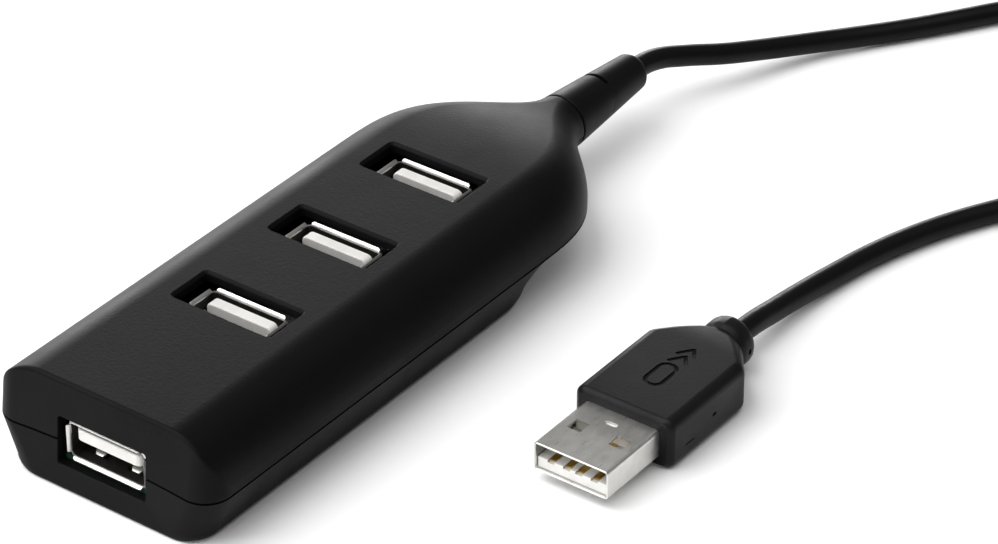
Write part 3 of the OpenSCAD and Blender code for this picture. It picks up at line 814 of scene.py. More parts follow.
@dataclass
class HubCase:
    """The bottle-shaped case: an upper and a lower shell that part along a groove.

    Its section changes along X from a box with rounded edges to the neck's circle. In its methods d is a distance from
    the front face, and off is how far inside the outer surface a shape lies.
    """

    front_x: float
    length: float
    width: float
    height: float
    port_x: list[float]
    front_port_z: float
    wall: float = 1.6
    parting_z: float = 7.4
    seam: float = 0.3
    seam_depth: float = 0.5
    seam_soft: float = 0.12
    seam_lap: float = 0.6
    edge_r: float = 8.0
    corner_r: float = 4.0
    base_r: float = 2.0
    base_least_r: float = 0.4
    base_in: float = 2.2
    front_lean: float = 1.35
    front_lean_l: float = 20.0
    shoulder_l: float = 31.4
    shoulder_power: float = 1.74
    neck_r: float = 4.35
    neck_z: float = 8.5
    neck_flat: float = 86.0
    keel_l: float = 68.0
    keel_rise_l: float = 19.0
    stem_l: float = 9.0
    stem_r: float = 2.45
    flange_r: float = 3.15
    flange_t: float = 1.5
    front_soft: float = 0.55
    inner_soft: float = 0.1
    crease_soft: float = 0.7
    chamfer: float = 0.35
    opening_l: float = 16.7
    opening_w: float = 7.2
    opening_r: float = 0.45
    front_opening_l: float = 15.1
    front_opening_h: float = 7.3
    base_steps: int = 5
    top_steps: int = 13

    def fullness(self, d: float) -> float:
        """How full the section is at distance d from the front: 1 along the body, 0 at the neck."""
        share = max(0.0, (d - self.length + self.shoulder_l) / self.shoulder_l)
        return (1 + math.cos(math.pi * min(1.0, share) ** self.shoulder_power)) / 2

    def keel(self, d: float) -> float:
        """How far the underside is still down at distance d: 1 along the base, 0 at the neck."""
        share = min(1.0, max(0.0, (d - self.keel_l) / self.keel_rise_l))
        return (1 + math.cos(math.pi * share)) / 2

    def lean(self, d: float, z: float) -> float:
        """How far a point slides along X because the front face leans back above the parting line."""
        share = max(0.0, z - self.parting_z) / (self.height - self.parting_z)
        return self.front_lean * max(0.0, 1 - d / self.front_lean_l) * share

    def upper_side(self, reach: float, edge_r: float, drop: float, off: float) -> list[tuple[float, float]]:
        """The body's outline above the parting line: upright side, softened crease, and the top's rounded edge.

        Args:
            reach: How far out the side stands.
            edge_r: The radius of the top's edge.
            drop: How much smaller the front's soft edge makes that radius.
            off: How far inside the outer surface it lies.

        Returns:
            Points as (y, z), from just above the parting line to the edge of the flat top.
        """
        centre_y, centre_z = self.width / 2 - off - edge_r, self.height - off - edge_r
        radius = edge_r - drop
        turn = math.acos(min(1.0, max(0.0, (reach - centre_y) / radius)))
        crease = (reach, centre_z + radius * math.sin(turn))
        start = turn + self.crease_soft / edge_r
        before = (reach, crease[1] - self.crease_soft)
        after = (centre_y + radius * math.cos(start), centre_z + radius * math.sin(start))
        body = [(reach, self.parting_z + (before[1] - self.parting_z) * k / 3) for k in (1, 2)]
        for t in (0.0, 0.25, 0.5, 0.75, 1.0):
            y, z = (before[i] * (1 - t) ** 2 + crease[i] * 2 * t * (1 - t) + after[i] * t * t for i in (0, 1))
            body.append((y, z))
        for k in range(1, self.top_steps + 1):
            a = start + (math.pi / 2 - start) * k / self.top_steps
            body.append((centre_y + radius * math.cos(a), centre_z + radius * math.sin(a)))
        return body

    def half(self, d: float, off: float) -> list[tuple[float, float]]:
        """The section's right half: the body's outline, mixed with the neck's circle along the shoulder.

        Args:
            d: Distance from the front face.
            off: How far inside the outer surface it lies.

        Returns:
            Points as (y, z), from the edge of the base up to the edge of the flat top.
        """
        full, down = self.fullness(d), self.keel(d)
        side, neck = self.width / 2 - off, self.neck_r - off
        edge_r, base_r = self.edge_r - off, max(self.base_least_r, self.base_r - off)
        inward = max(0.0, d - off)
        drop = rounding(self.front_soft if off < self.wall / 2 else self.inner_soft, inward)
        reach = side - rounding(self.corner_r - off, inward)
        foot = reach - self.base_in
        dip = math.degrees(math.asin((self.parting_z - self.neck_z) / neck))

        def mixed(y: float, z: float, turn: float, share_y: float, share_z: float) -> tuple[float, float]:
            """A point of the body, moved towards its match at turn degrees on the neck's circle."""
            a = math.radians(turn)
            neck_y, neck_z = neck * math.cos(a), self.neck_z + neck * math.sin(a)
            return y * share_y + neck_y * (1 - share_y), z * share_z + neck_z * (1 - share_z)

        points = []
        steps = self.base_steps
        for k in range(steps + 1):
            a = math.radians(-90 + 90 * k / steps)
            turn = -self.neck_flat * (1 - k / steps) + (dip - 12) * k / steps
            y, z = foot - base_r + (base_r - drop) * math.cos(a), off + base_r + (base_r - drop) * math.sin(a)
            neck_y = neck * math.cos(math.radians(turn))
            y = (y * full + neck_y * (1 - full)) * (1 + down) / 2 + neck_y * (1 - down) / 2
            points.append((y, mixed(0, z, turn, 0, down)[1]))
        parting_y = min(reach, mixed(side, 0, dip, full, 0)[0])
        low_y, low_z = points[-1]
        for k in (1, 2):
            points.append((low_y + (parting_y - low_y) * k / 3, low_z + (self.parting_z - low_z) * k / 3))
        points.append((parting_y, self.parting_z))
        centre_y, centre_z = side - edge_r, self.height - off - edge_r
        for y, z in self.upper_side(reach, edge_r, drop, off):
            rise = math.degrees(math.atan2(z - centre_z, max(1e-6, y - centre_y)))
            above = z > centre_z
            turn = self.neck_flat * rise / 90 if above else dip * (centre_z - z) / (centre_z - self.parting_z)
            points.append(mixed(y, z, turn, full, full))
        return points

    def ring(self, d: float, off: float, shrink: float = 0.0) -> list[Vector]:
        """The whole section.

        Args:
            d: Distance from the front face.
            off: How far inside the outer surface it lies.
            shrink: How much smaller it is than that, for the rounded end of the neck.

        Returns:
            Its points, as a ring.
        """
        half = self.half(d, off + shrink)
        both = half + [(-y, z) for y, z in reversed(half)]
        return [Vector((self.front_x + d + self.lean(d, z), y, z)) for y, z in both]

    def skin(self, off: float, last: float) -> BMesh:
        """A closed body inside the outer surface.

        Args:
            off: How far inside it lies.
            last: The distance from the front face at which it ends.

        Returns:
            The body.
        """
        front = [0.0, 0.04, 0.146, 0.31, 0.55, 0.78, 1.17, 1.65, 2.18, 2.76, 3.37, 4.0]
        scale = (self.corner_r - off) / self.corner_r
        stations = [off + d * scale for d in front] + [12.0, 20.0, 45.0]
        shoulder = [self.keel_l - 0.5 + 1.15 * k for k in range(31)]
        stations += [d for d in shoulder if d < last - 0.7]
        rings = [self.ring(d, off) for d in stations]
        rings += [self.ring(last - 0.25, off), self.ring(last - 0.06, off, 0.07), self.ring(last, off, 0.25)]
        bm = bmesh.new()
        loft(bm, rings)
        return bm

    def hollow(self, off: float, inner: float) -> BMesh:
        """A wall under the outer surface, with its openings cut.

        Args:
            off: How far inside the outer surface the wall begins.
            inner: How far inside it the wall ends.

        Returns:
            The wall, from the front to the neck's end.
        """
        bm = self.skin(off, self.length)
        core = self.skin(inner, self.length - self.stem_l - self.flange_t)
        bmesh.ops.reverse_faces(core, faces=core.faces)
        add_body(bm, core)
        return combine(bm, self.cutters(), Cut.TAKE_AWAY)

    def layer(self, bm: BMesh, low: float, high: float) -> BMesh:
        """What of a body lies between the heights low and high."""
        block = bmesh.new()
        slab(block, Vector((-90, -50, low)), Vector((90, 50, high)))
        return combine(bm, block, Cut.KEEP_INSIDE)

    def cutters(self) -> BMesh:
        """The openings for the receptacles, each under a softened chamfer, and the bore for the strain relief.

        Returns:
            The body to take away from the case.
        """
        bm = bmesh.new()
        c = self.chamfer
        steps = [(-self.wall - 1.2, 0.0), (-c * 1.25, 0.0), (-c * 0.9, c * 0.25), (-c * 0.3, c * 0.8), (0.0, c * 1.2)]
        steps.append((WORK_REACH, c * 1.2))

        def outline(width: float, depth: float, grow: float) -> list[Vector]:
            """An opening's outline, grow wider all round than its bore."""
            return rounded(width + 2 * grow, depth + 2 * grow, self.opening_r + grow)

        for x in self.port_x:
            rings = []
            for rise, grow in steps:
                ring = outline(self.opening_w, self.opening_l, grow)
                rings.append([p + Vector((x, 0, self.height + rise)) for p in ring])
            loft(bm, rings)
        rings = []
        for rise, grow in steps:
            ring = outline(self.front_opening_l, self.front_opening_h, grow)
            face = [Vector((self.front_x, p.x, self.front_port_z + p.y)) for p in ring]
            rings.append([p + Vector((self.lean(0, p.z) - rise, 0, 0)) for p in face])
        loft(bm, rings)
        end = self.front_x + self.length
        seat = end - self.stem_l - self.flange_t
        bores = ((self.stem_r, seat - 0.5, end + WORK_REACH), (self.flange_r, seat - WORK_REACH, seat + self.flange_t))
        for radius, x0, x1 in bores:
            place = Matrix.Translation(((x0 + x1) / 2, 0, self.neck_z)) @ Matrix.Rotation(math.pi / 2, 4, "Y")
            bore = bmesh.new()
            bmesh.ops.create_cone(
                bore, cap_ends=True, segments=48, radius1=radius, radius2=radius, depth=x1 - x0, matrix=place
            )
            bm = combine(bm, bore, Cut.ADD)
        return bm

    def soften_seam(self, bm: BMesh, z: float) -> None:
        """Rounds the outer edge of a shell along its cut.

        Args:
            bm: The shell.
            z: The height of the cut.
        """
        edges = []
        for edge in bm.edges:
            level = all(abs(v.co.z - z) < 0.002 for v in edge.verts)
            if not level or len(edge.link_faces) != 2:
                continue
            walls = [f for f in edge.link_faces if abs(f.normal.z) < 0.8]
            middle = (edge.verts[0].co + edge.verts[1].co) / 2
            outward = walls and walls[0].normal.dot(Vector((middle.x * 0.2, middle.y, 0))) > 0
            if outward and edge.calc_length() > 0.02:
                edges.append(edge)
        bevel(bm, edges, self.seam_soft)

    def build(self) -> list[bpy.types.Object]:
        """Makes and dresses the two shells. The lower one carries the wall that shows at the bottom of the groove.

        Returns:
            The upper and the lower shell.
        """
        top_z = self.parting_z + self.seam
        whole = self.hollow(0, self.wall)
        upper = self.layer(whole.copy(), top_z, 40)
        lower = self.layer(whole, -5, self.parting_z)
        self.soften_seam(upper, top_z)
        self.soften_seam(lower, self.parting_z)
        groove = self.layer(self.hollow(self.seam_depth, self.wall + 0.03), self.parting_z - self.seam_lap, top_z)
        lower = combine(lower, groove, Cut.ADD)
        return [
            commit(upper, "case_top", Slot.CASE, ["top_shell"], 28),
            commit(lower, "case_bottom", Slot.CASE, ["bottom_shell"], 28),
        ]


# ---- the receptacles ----


@dataclass
class Receptacle:
    """A four-contact receptacle: a folded metal shell with sprung fingers, an insulator and its contacts.

    It is built with its back at z = 0 and its way in along +Z, then placed.
    """

    name: str
    place: Matrix
    depth: float
    mouth_l: float = 12.5
    mouth_w: float = 5.12
    sheet: float = 0.35
    flare: float = 0.65
    tongue_l: float = 11.1
    tongue_t: float = 1.84
    tongue_gap: float = 0.72
    block_h: float = 3.2
    contact_y: tuple[float, ...] = (-3.5, -1.0, 1.0, 3.5)
    contact_w: float = 1.0
    contact_t: float = 0.3
    leg_reach: float = 2.1
    leg_soft: float = 0.08
    tail_soft: float = 0.05
    finger_w: float = 2.0
    end_finger_w: float = 1.4
    finger_most_l: float = 5.0

    @property
    def rim(self) -> float:
        """The height at which the lips begin to flare."""
        return self.depth - self.flare

    @property
    def finger_l(self) -> float:
        """The length of a finger, and of the window behind it, above the insulator's block."""
        return min(self.finger_most_l, self.depth - self.block_h - 2.2)

    @property
    def tongue_x(self) -> float:
        """Where the tongue's contact face lies."""
        return self.mouth_w / 2 - self.tongue_gap - self.tongue_t

    def walls(self) -> list[tuple[Matrix, float, float, float]]:
        """The tube's four walls: a broad one has two fingers, and a narrow one has one in its middle.

        Returns:
            Each wall as a frame at its inner face, its width, half the distance of its fingers, and their windows'
            width without its clearance.
        """
        turns = []
        for quarter in range(4):
            broad = quarter % 2 == 0
            reach = (self.mouth_w if broad else self.mouth_l) / 2
            turn = Matrix.Rotation(math.radians(90 * quarter), 4, "Z") @ Matrix.Translation((reach, 0, 0))
            wide, offset = (self.mouth_l, self.mouth_l / 4) if broad else (self.mouth_w, 0.0)
            turns.append((turn, wide, offset, self.finger_w))
        return turns

    def tube(self) -> BMesh:
        """The folded tube with a window behind each finger.

        Returns:
            The tube, up to where its lips begin.
        """
        bm = bmesh.new()
        outer = rounded(self.mouth_w + 2 * self.sheet, self.mouth_l + 2 * self.sheet, 0.75)
        loft(bm, [[p + Vector((0, 0, z)) for p in outer] for z in (0.0, self.rim)])
        bore = bmesh.new()
        inner = rounded(self.mouth_w, self.mouth_l, 0.4)
        loft(bore, [[p + Vector((0, 0, z)) for p in inner] for z in (-WORK_REACH, self.rim + WORK_REACH)])
        bm = combine(bm, bore, Cut.TAKE_AWAY)
        windows = bmesh.new()
        length = self.finger_l
        for wall, _, offset, width in self.walls():
            for y in sorted({-offset, offset}):
                ring = placed(rounded(width + 0.6, length, 0.5, 3), axes(Vector(), ACROSS, UP))
                middle = Vector((0, y, self.rim - 1.5 - length / 2))
                rings = [[wall @ (p + middle + Vector((x, 0, 0))) for p in ring] for x in (-0.5, self.sheet + 0.5)]
                loft(windows, rings)
        return combine(bm, windows, Cut.TAKE_AWAY)

    def finger(self, bm: BMesh, wall: Matrix, y: float, width: float) -> None:
        """A finger sprung into the mouth, which bends back out to a rounded tip.

        Args:
            bm: The mesh to add to.
            wall: The frame of its wall.
            y: Its place across the wall.
            width: Its width.
        """
        half, root = self.sheet / 2, self.rim - 1.9 - self.finger_l
        tip = self.rim - 1.75
        steps = [(0.0, 0.0), (0.12, 0.0), (0.3, -0.12), (0.55, -0.42), (0.68, -0.6), (0.78, -0.66), (0.88, -0.56)]
        steps += [(0.95, -0.36), (1.0, -0.14)]
        shares = [1.0, 1.0, 1.0, 1.0, 0.98, 0.96, 0.92, 0.82, 0.6]
        points = [Vector((half + x, y, root + (tip - root) * t)) for t, x in steps]
        strip(bm, bent(points, wall), wall.to_3x3() @ ACROSS, [width * s for s in shares], self.sheet)

    def lip(self, bm: BMesh, wall: Matrix, width: float) -> None:
        """The flared edge of one wall: it rises, then leans outwards with rounded ends.

        Args:
            bm: The mesh to add to.
            wall: The frame of its wall.
            width: Its width.
        """
        half = self.sheet / 2
        path = [(0.0, -0.25), (0.0, 0.0), (0.03, 0.13), (0.11, 0.25), (0.22, 0.37), (0.34, 0.47)]
        shares = [1.0, 1.0, 1.0, 1.0, 0.99, 0.955]
        points = [Vector((half + x, 0, self.rim + z)) for x, z in path]
        strip(bm, bent(points, wall), wall.to_3x3() @ ACROSS, [width * s for s in shares], self.sheet)

    def leg(self, bm: BMesh, side: float, sideways: bool) -> None:
        """A leg through the board: out of the back, or for a port on its side, out of its lower wall.

        Args:
            bm: The mesh to add to.
            side: Which end of the shell it is at, -1 or 1.
            sideways: Whether the port lies on its side.
        """
        y, half = side * (self.mouth_l + self.sheet) / 2, self.sheet / 2
        if sideways:
            low = Vector((-self.mouth_w / 2 - self.sheet - self.leg_reach, y - half, 4.3))
            slab(bm, low, Vector((-self.mouth_w / 2, y + half, 5.7)), self.leg_soft)
        else:
            slab(bm, Vector((-0.7, y - half, -self.leg_reach)), Vector((0.7, y + half, 0.3)), self.leg_soft)

    def shell(self, sideways: bool) -> BMesh:
        """The whole metal shell, whose inner faces are marked for the darker nickel that paints the shade inside the
        tube.

        Args:
            sideways: Whether the port lies on its side.

        Returns:
            The shell.
        """
        bm = self.tube()
        # The tube's inner upright faces take material index 1, the nickel darkened as painted shade.
        for face in bm.faces:
            middle = face.calc_center_median()
            inside = abs(middle.x) < self.mouth_w / 2 + 0.02 and abs(middle.y) < self.mouth_l / 2 + 0.02
            face.material_index = int(inside and abs(face.normal.z) < 0.5)
        for wall, length, offset, width in self.walls():
            for y in sorted({-offset, offset}):
                self.finger(bm, wall, y, width if offset else self.end_finger_w)
            self.lip(bm, wall, length - (0.6 if offset else 0.7))
        for side in (-1, 1):
            self.leg(bm, side, sideways)
        return bm

    def insulator(self) -> BMesh:
        """The moulded block at the back, and the tongue with a channel for each contact.

        Returns:
            The two as one body.
        """
        bm = bmesh.new()
        corner = Vector((self.mouth_w / 2 - 0.02, self.mouth_l / 2 - 0.02, 0))
        slab(bm, -corner, corner + Vector((0, 0, self.block_h)), 0.15)
        x0 = self.tongue_x
        top = self.rim - 0.05
        tongue = bmesh.new()
        turned = [Vector((0, p.x, p.y)) for p in rounded(self.tongue_l, 2 * top, 0.85, 6)]
        middle = Vector((x0 + self.tongue_t / 2, 0, 0))
        rings = []
        for share, inset in ((-1.0, 0.22), (-0.93, 0.08), (-0.8, 0.0), (0.8, 0.0), (0.93, 0.08), (1.0, 0.22)):
            grow = Vector((1, (self.tongue_l - 2 * inset) / self.tongue_l, (top - inset) / top))
            rings.append([p * grow + middle + Vector((share * self.tongue_t / 2, 0, 0)) for p in turned])
        loft(tongue, rings)
        bmesh.ops.bisect_plane(
            tongue,
            geom=tongue.verts[:] + tongue.edges[:] + tongue.faces[:],
            plane_co=(0, 0, self.block_h - 0.4),
            plane_no=(0, 0, 1),
            clear_inner=True,
        )
        bmesh.ops.holes_fill(tongue, edges=tongue.edges[:], sides=0)
        bmesh.ops.recalc_face_normals(tongue, faces=tongue.faces[:])
        grooves = bmesh.new()
        half, floor_x = self.contact_w / 2 + 0.06, x0 + self.contact_t / 2 + 0.05
        for y in self.contact_y:
            slab(grooves, Vector((x0 - 1, y - half, -1)), Vector((floor_x, y + half, top - 2.3)))
        tongue = combine(tongue, grooves, Cut.TAKE_AWAY)
        return combine(bm, tongue, Cut.ADD)

    def contacts(self, sideways: bool) -> BMesh:
        """Four leaves along the tongue's face, each with a bump near its tip and a tail into the board.

        Args:
            sideways: Whether the port lies on its side, so that the tails turn down.

        Returns:
            The four contacts.
        """
        bm = bmesh.new()
        x0 = self.tongue_x
        tip = self.depth - self.flare - 2.4
        steps = [(0.05, 0.0), (tip - 3.4, 0.0), (tip - 2.6, -0.12), (tip - 1.9, -0.26), (tip - 1.5, -0.28)]
        steps += [(tip - 1.1, -0.22), (tip - 0.5, -0.06), (tip, 0.03)]
        widths = [self.contact_w] * 7 + [self.contact_w * 0.6]
        low = -self.mouth_w / 2 - self.sheet - self.leg_reach
        for y in self.contact_y:
            strip(bm, bent([Vector((x0 + x, y, z)) for z, x in steps]), ACROSS, widths, self.contact_t * 0.8)
            tails = [((x0 - 0.15, -self.leg_reach), (x0 + 0.15, 0.1))]
            if sideways:
                tails = [((x0 - 0.12, -1.15), (x0 + 0.12, 0.1)), ((low, -1.15), (x0, -0.88))]
            for (x1, z1), (x2, z2) in tails:
                slab(bm, Vector((x1, y - 0.3, z1)), Vector((x2, y + 0.3, z2)), self.tail_soft)
        return bm

    def build(self, sideways: bool = False) -> list[bpy.types.Object]:
        """Makes, places and dresses the shell, the insulator and the contacts.

        Args:
            sideways: Whether the receptacle lies on its side on the board.

        Returns:
            The three pieces.
        """
        made = []
        bodies = ((self.shell(sideways), "shell", Slot.NICKEL), (self.insulator(), "insulator", Slot.INSULATOR))
        for bm, part, slot in (*bodies, (self.contacts(sideways), "contacts", Slot.CONTACT)):
            bmesh.ops.transform(bm, matrix=self.place, verts=bm.verts)
            # The shells' inner faces get painted shade: a darker nickel than the outside.
            second = NICKEL_PAINTED_SHADE if slot is Slot.NICKEL else None
            made.append(commit(bm, f"{self.name}_{part}_piece", slot, [f"{self.name}_{part}"], sharp=40, second=second))
        return made


# ---- the strain relief, the lead and its tie ----


@dataclass
class StrainRelief:
    """The moulded cone over the lead where it leaves the neck, held in the neck by a stem and a flange."""

    low_x: float
    high_x: float
    axis_z: float
    stem_l: float = 9.0
    flange_t: float = 1.5
    flange_r: float = 3.1
    stem_r: float = 2.4
    neck_r: float = 4.35
    end_r: float = 2.8
    slot_share: float = 0.46
    slot_w: float = 0.65
    slot_turn: float = 40.0
    slot_depth_r: float = 1.95
    slot_plane: float = 0.6
    round_steps: int = 64

    def profile(self) -> list[tuple[float, float, bool]]:
        """The outline from the flange inside the neck to the cone's rounded end.

        Returns:
            Stations as distance from the neck's end, radius, and whether the slot cuts them.
        """
        length = self.high_x - self.low_x - self.stem_l - self.flange_t
        start, last = 0.45, length - 1.4

        def cone(x: float) -> float:
            """The cone's radius at x."""
            return self.neck_r - 0.03 + (self.end_r + 0.25 - self.neck_r) * (x - start) / (last - start)

        slot, edge, sink = self.slot_share * length, 0.12, 0.04
        after = slot + self.slot_w
        back = -self.stem_l - self.flange_t
        stem = [
            (back, self.flange_r - 0.15),
            (back + 0.15, self.flange_r),
            (-self.stem_l, self.flange_r),
            (-self.stem_l + 0.01, self.stem_r),
            (0.0, self.stem_r),
        ]
        root = [
            (0.01, self.neck_r - 0.5),
            (0.22, self.neck_r - 0.45),
            (0.27, self.neck_r - 0.16),
            (0.36, self.neck_r - 0.06),
            (start, self.neck_r - 0.03),
        ]
        before = [(x, cone(x)) for x in (start + (slot - start) * k / 4 for k in range(1, 4))]
        before += [(slot - edge, cone(slot - edge)), (slot - 0.02, cone(slot) - sink)]
        beyond = [(after + 0.02, cone(after) - sink), (after + edge, cone(after + edge))]
        beyond += [(x, cone(x)) for x in (after + (last - after) * k / 5 for k in range(1, 6))]
        end = [
            (length - 1.0, self.end_r + 0.18),
            (length - 0.7, self.end_r + 0.02),
            (length - 0.35, self.end_r - 0.2),
            (length - 0.08, self.end_r - 0.5),
            (length, self.end_r - 0.85),
        ]
        notched = [(x, cone(x), True) for x in (slot, after)]
        return [(x, r, False) for x, r in stem + root + before] + notched + [(x, r, False) for x, r in beyond + end]

    def build(self) -> bpy.types.Object:
        """Makes and dresses the strain relief.

        Returns:
            The finished piece.
        """
        bm = bmesh.new()
        origin = self.low_x + self.stem_l + self.flange_t
        rings = []
        for x, r, cut in self.profile():
            ring = []
            for k in range(self.round_steps):
                turn = 2 * math.pi * k / self.round_steps
                away = math.cos(turn - math.radians(self.slot_turn))
                radius = min(r, max(self.slot_depth_r, self.slot_plane / away)) if cut and away > 0.17 else r
                ring.append(Vector((origin + x, radius * math.cos(turn), self.axis_z + radius * math.sin(turn))))
            rings.append(ring)
        loft(bm, rings)
        return commit(bm, "strain_relief_cone", Slot.RELIEF, ["strain_relief"], sharp=30)


@dataclass
class Lead:
    """The captive lead: out of the strain relief, round a coil of its spare length, and back to the plug.

    The points of to_coil and to_plug lie over the exit's foot. Their heights are rises above the lead's own radius, so
    that 0 lies on the surface. The coil's places are turns in degrees, clockwise from its X side.
    """

    exit_point: Vector
    diameter: float = 3.4
    coil_r: float = 20.0
    coil_offset: tuple[float, float] = (58.0, -64.0)
    coil_step: float = 15.0
    nest_z: float = 4.64
    leave_turn: float = 835.5
    tie_turn: float = 230.0
    tie_lift: float = 0.62
    buried: float = 3.0
    to_coil: tuple[tuple[float, float, float], ...] = (
        (5, -0.5, 6.4),
        (10, -2.4, 5.3),
        (16, -5.3, 3.8),
        (23, -8.2, 2.3),
        (30, -11.4, 1.1),
        (37, -15.4, 0.3),
        (44, -20.2, 0),
        (51, -25, 0),
        (58, -29.6, 0),
        (65, -34.8, 0),
        (71, -41, 0),
        (75.8, -48, 0),
        (78.8, -56, 0),
    )
    to_plug: tuple[tuple[float, float, float], ...] = (
        (42.2, -78.6, 3.5),
        (35, -75.1, 3),
        (28, -71.2, 1.7),
        (21, -67, 0.5),
        (14.5, -62.8, 0),
        (8, -59, 0),
        (1, -55.4, 0),
        (-6, -52.6, 0),
        (-13.5, -50.4, 0),
        (-21, -49, 0.1),
        (-28, -48.2, 0.5),
        (-35, -48, 1.3),
        (-40, -48, 2),
    )
    collar_end: tuple[float, float, float] = (-44.3, -48, 2.2)

    def base(self) -> Vector:
        """The point on the surface below the exit."""
        return Vector((self.exit_point.x, self.exit_point.y, 0))

    def tie_point(self) -> Vector:
        """The point on the surface below the coil's strands where the tie holds them."""
        a = math.radians(-self.tie_turn)
        return self.base() + Vector((*self.coil_offset, 0)) + Vector((math.cos(a), math.sin(a), 0)) * self.coil_r

    def laid(self, point: tuple[float, float, float]) -> Vector:
        """A point of the route, whose height is a rise above the lead's own radius."""
        return self.base() + Vector((point[0], point[1], point[2] + self.diameter / 2))

    def coil(self) -> list[Vector]:
        """The coil, clockwise as seen from above: two turns side by side, then one nested on top of them.

        Returns:
            Its points, up to where the lead leaves it.
        """
        outer, inner = self.coil_r + self.diameter / 2, self.coil_r - self.diameter / 2
        low, high = self.diameter / 2, self.nest_z
        centre = self.base() + Vector((*self.coil_offset, 0))

        def eased(turn: float, start: float, end: float) -> float:
            """The share of a smooth change that runs from start to end."""
            t = min(1.0, max(0.0, (turn - start) / (end - start)))
            return t * t * (3 - 2 * t)

        def at(turn: float, r: float, z: float) -> Vector:
            """The point at turn, r from the coil's middle."""
            a = math.radians(-turn)
            return centre + Vector((r * math.cos(a), r * math.sin(a), z))

        points = []
        turn = 0.0
        while turn < self.leave_turn - 1:
            r = outer + (inner - outer) * eased(turn, 240, 360) + (self.coil_r - inner) * eased(turn, 606, 700)
            z = low + (high - low) * eased(turn, 596, 668)
            z += 0.5 * math.exp(-(((turn - 664) / 22) ** 2))  # a hump, where it crosses the turns below
            away = (turn - self.tie_turn + 180) % 360 - 180
            z += self.tie_lift * math.exp(-((away / 16) ** 2))  # the tie's band runs under the strands
            points.append(at(turn, r, z))
            turn += self.coil_step
        return [*points, at(self.leave_turn, self.coil_r, self.nest_z)]

    def route(self) -> list[Vector]:
        """The whole centreline.

        Returns:
            Its points, from inside the strain relief to inside the plug's collar.
        """
        inwards = Vector((self.buried, 0, 0))
        points = [self.exit_point - inwards, self.exit_point.copy()]
        points += [self.laid(p) for p in self.to_coil]
        points += self.coil()
        points += [self.laid(p) for p in (*self.to_plug, self.collar_end)]
        return [*points, points[-1] - inwards]

    def build(self) -> bpy.types.Object:
        """Makes and dresses the lead as one curve.

        Returns:
            The finished piece.
        """
        data = bpy.data.curves.new("lead_jacket", "CURVE")
        data.dimensions = "3D"
        data.bevel_depth = self.diameter / 2 * MM
        data.bevel_resolution = 5
        data.resolution_u = 6
        data.use_fill_caps = True
        spline = data.splines.new("BEZIER")
        route = self.route()
        spline.bezier_points.add(len(route) - 1)
        for point, place in zip(spline.bezier_points, route):
            point.co = place * MM
            point.handle_left_type = point.handle_right_type = "AUTO"
        made = bpy.data.objects.new("lead_jacket", data)
        bpy.context.scene.collection.objects.link(made)
        data.materials.append(FINISHES[Slot.JACKET].material())
        tie_in(made, ["cable_to_coil", "cable_coil", "cable_to_plug"])
        return made

    def declare(self, others: list[bpy.types.Object]) -> None:
        """Works out the lead's route, and does nothing more with it.

        Args:
            others: The pieces that are on it. It is not used.
        """
        route = self.route()


@dataclass
class CoilTie:
    """The strap that holds the coil: a band round two strands of lead, with a head and a short tail."""

    centre: Vector
    turn: float
    diameter: float = 3.4
    strap_t: float = 0.6
    strap_w: float = 4.0
    lift: float = 0.62
    gap: float = 0.03

    def band(self, grow: float) -> list[Vector]:
        """The outline round the two strands, in the plane across the lead.

        Args:
            grow: How far away from them it lies.

        Returns:
            Its points, as a ring.
        """
        r = self.diameter / 2
        ring = []
        for x, start in ((-r, 90), (r, 270)):
            for k in range(13):
                a = math.radians(start + 15 * k)
                ring.append(Vector((x + (r + grow) * math.cos(a), r + self.lift + (r + grow) * math.sin(a), 0)))
        return ring

    def head(self) -> BMesh:
        """The head on top of the band and the tail that comes out of it, built along X about the origin.

        Returns:
            The two, as one mesh.
        """
        half = self.strap_w / 2
        top = self.lift + self.diameter + self.strap_t - 0.15
        bm = bmesh.new()
        slab(bm, Vector((-2.1, -half - 0.5, top)), Vector((1.7, half + 0.5, top + 1.75)), 0.3, 3)
        tail = [(1.5, 0.9), (3.0, 0.95), (4.6, 0.8), (6.0, 0.35), (7.0, -0.35)]
        strip(bm, bent([Vector((x, 0, top + z)) for x, z in tail]), ACROSS, [3.2, 3.2, 3.1, 2.8, 1.6], 0.55)
        return bm

    def build(self) -> bpy.types.Object:
        """Makes and dresses the tie.

        Returns:
            The finished piece.
        """
        a = math.radians(self.turn)
        out = Vector((math.cos(a), math.sin(a), 0))
        along = out.cross(UP)
        half, edge = self.strap_w / 2, 0.12

        def ring(grow: float, reach: float) -> list[Vector]:
            """The band's outline, grow away from the strands and reach along the lead."""
            return placed(self.band(grow), axes(self.centre + along * reach, out, UP))

        bm = bmesh.new()
        outer = [ring(self.strap_t - edge, -half), ring(self.strap_t, -half + edge)]
        loft(bm, [*outer, ring(self.strap_t, half - edge), ring(self.strap_t - edge, half)])
        hole = bmesh.new()
        loft(hole, [ring(self.gap, -half - WORK_REACH), ring(self.gap, half + WORK_REACH)])
        bm = combine(bm, hole, Cut.TAKE_AWAY)
        head = self.head()
        turned = Matrix.Translation(self.centre) @ Matrix.Rotation(a, 4, "Z")
        bmesh.ops.transform(head, matrix=turned, verts=head.verts)
        add_body(bm, head)
        return commit(bm, "coil_tie_strap", Slot.TIE, ["cable_tie"], sharp=35)


# ---- the plug ----


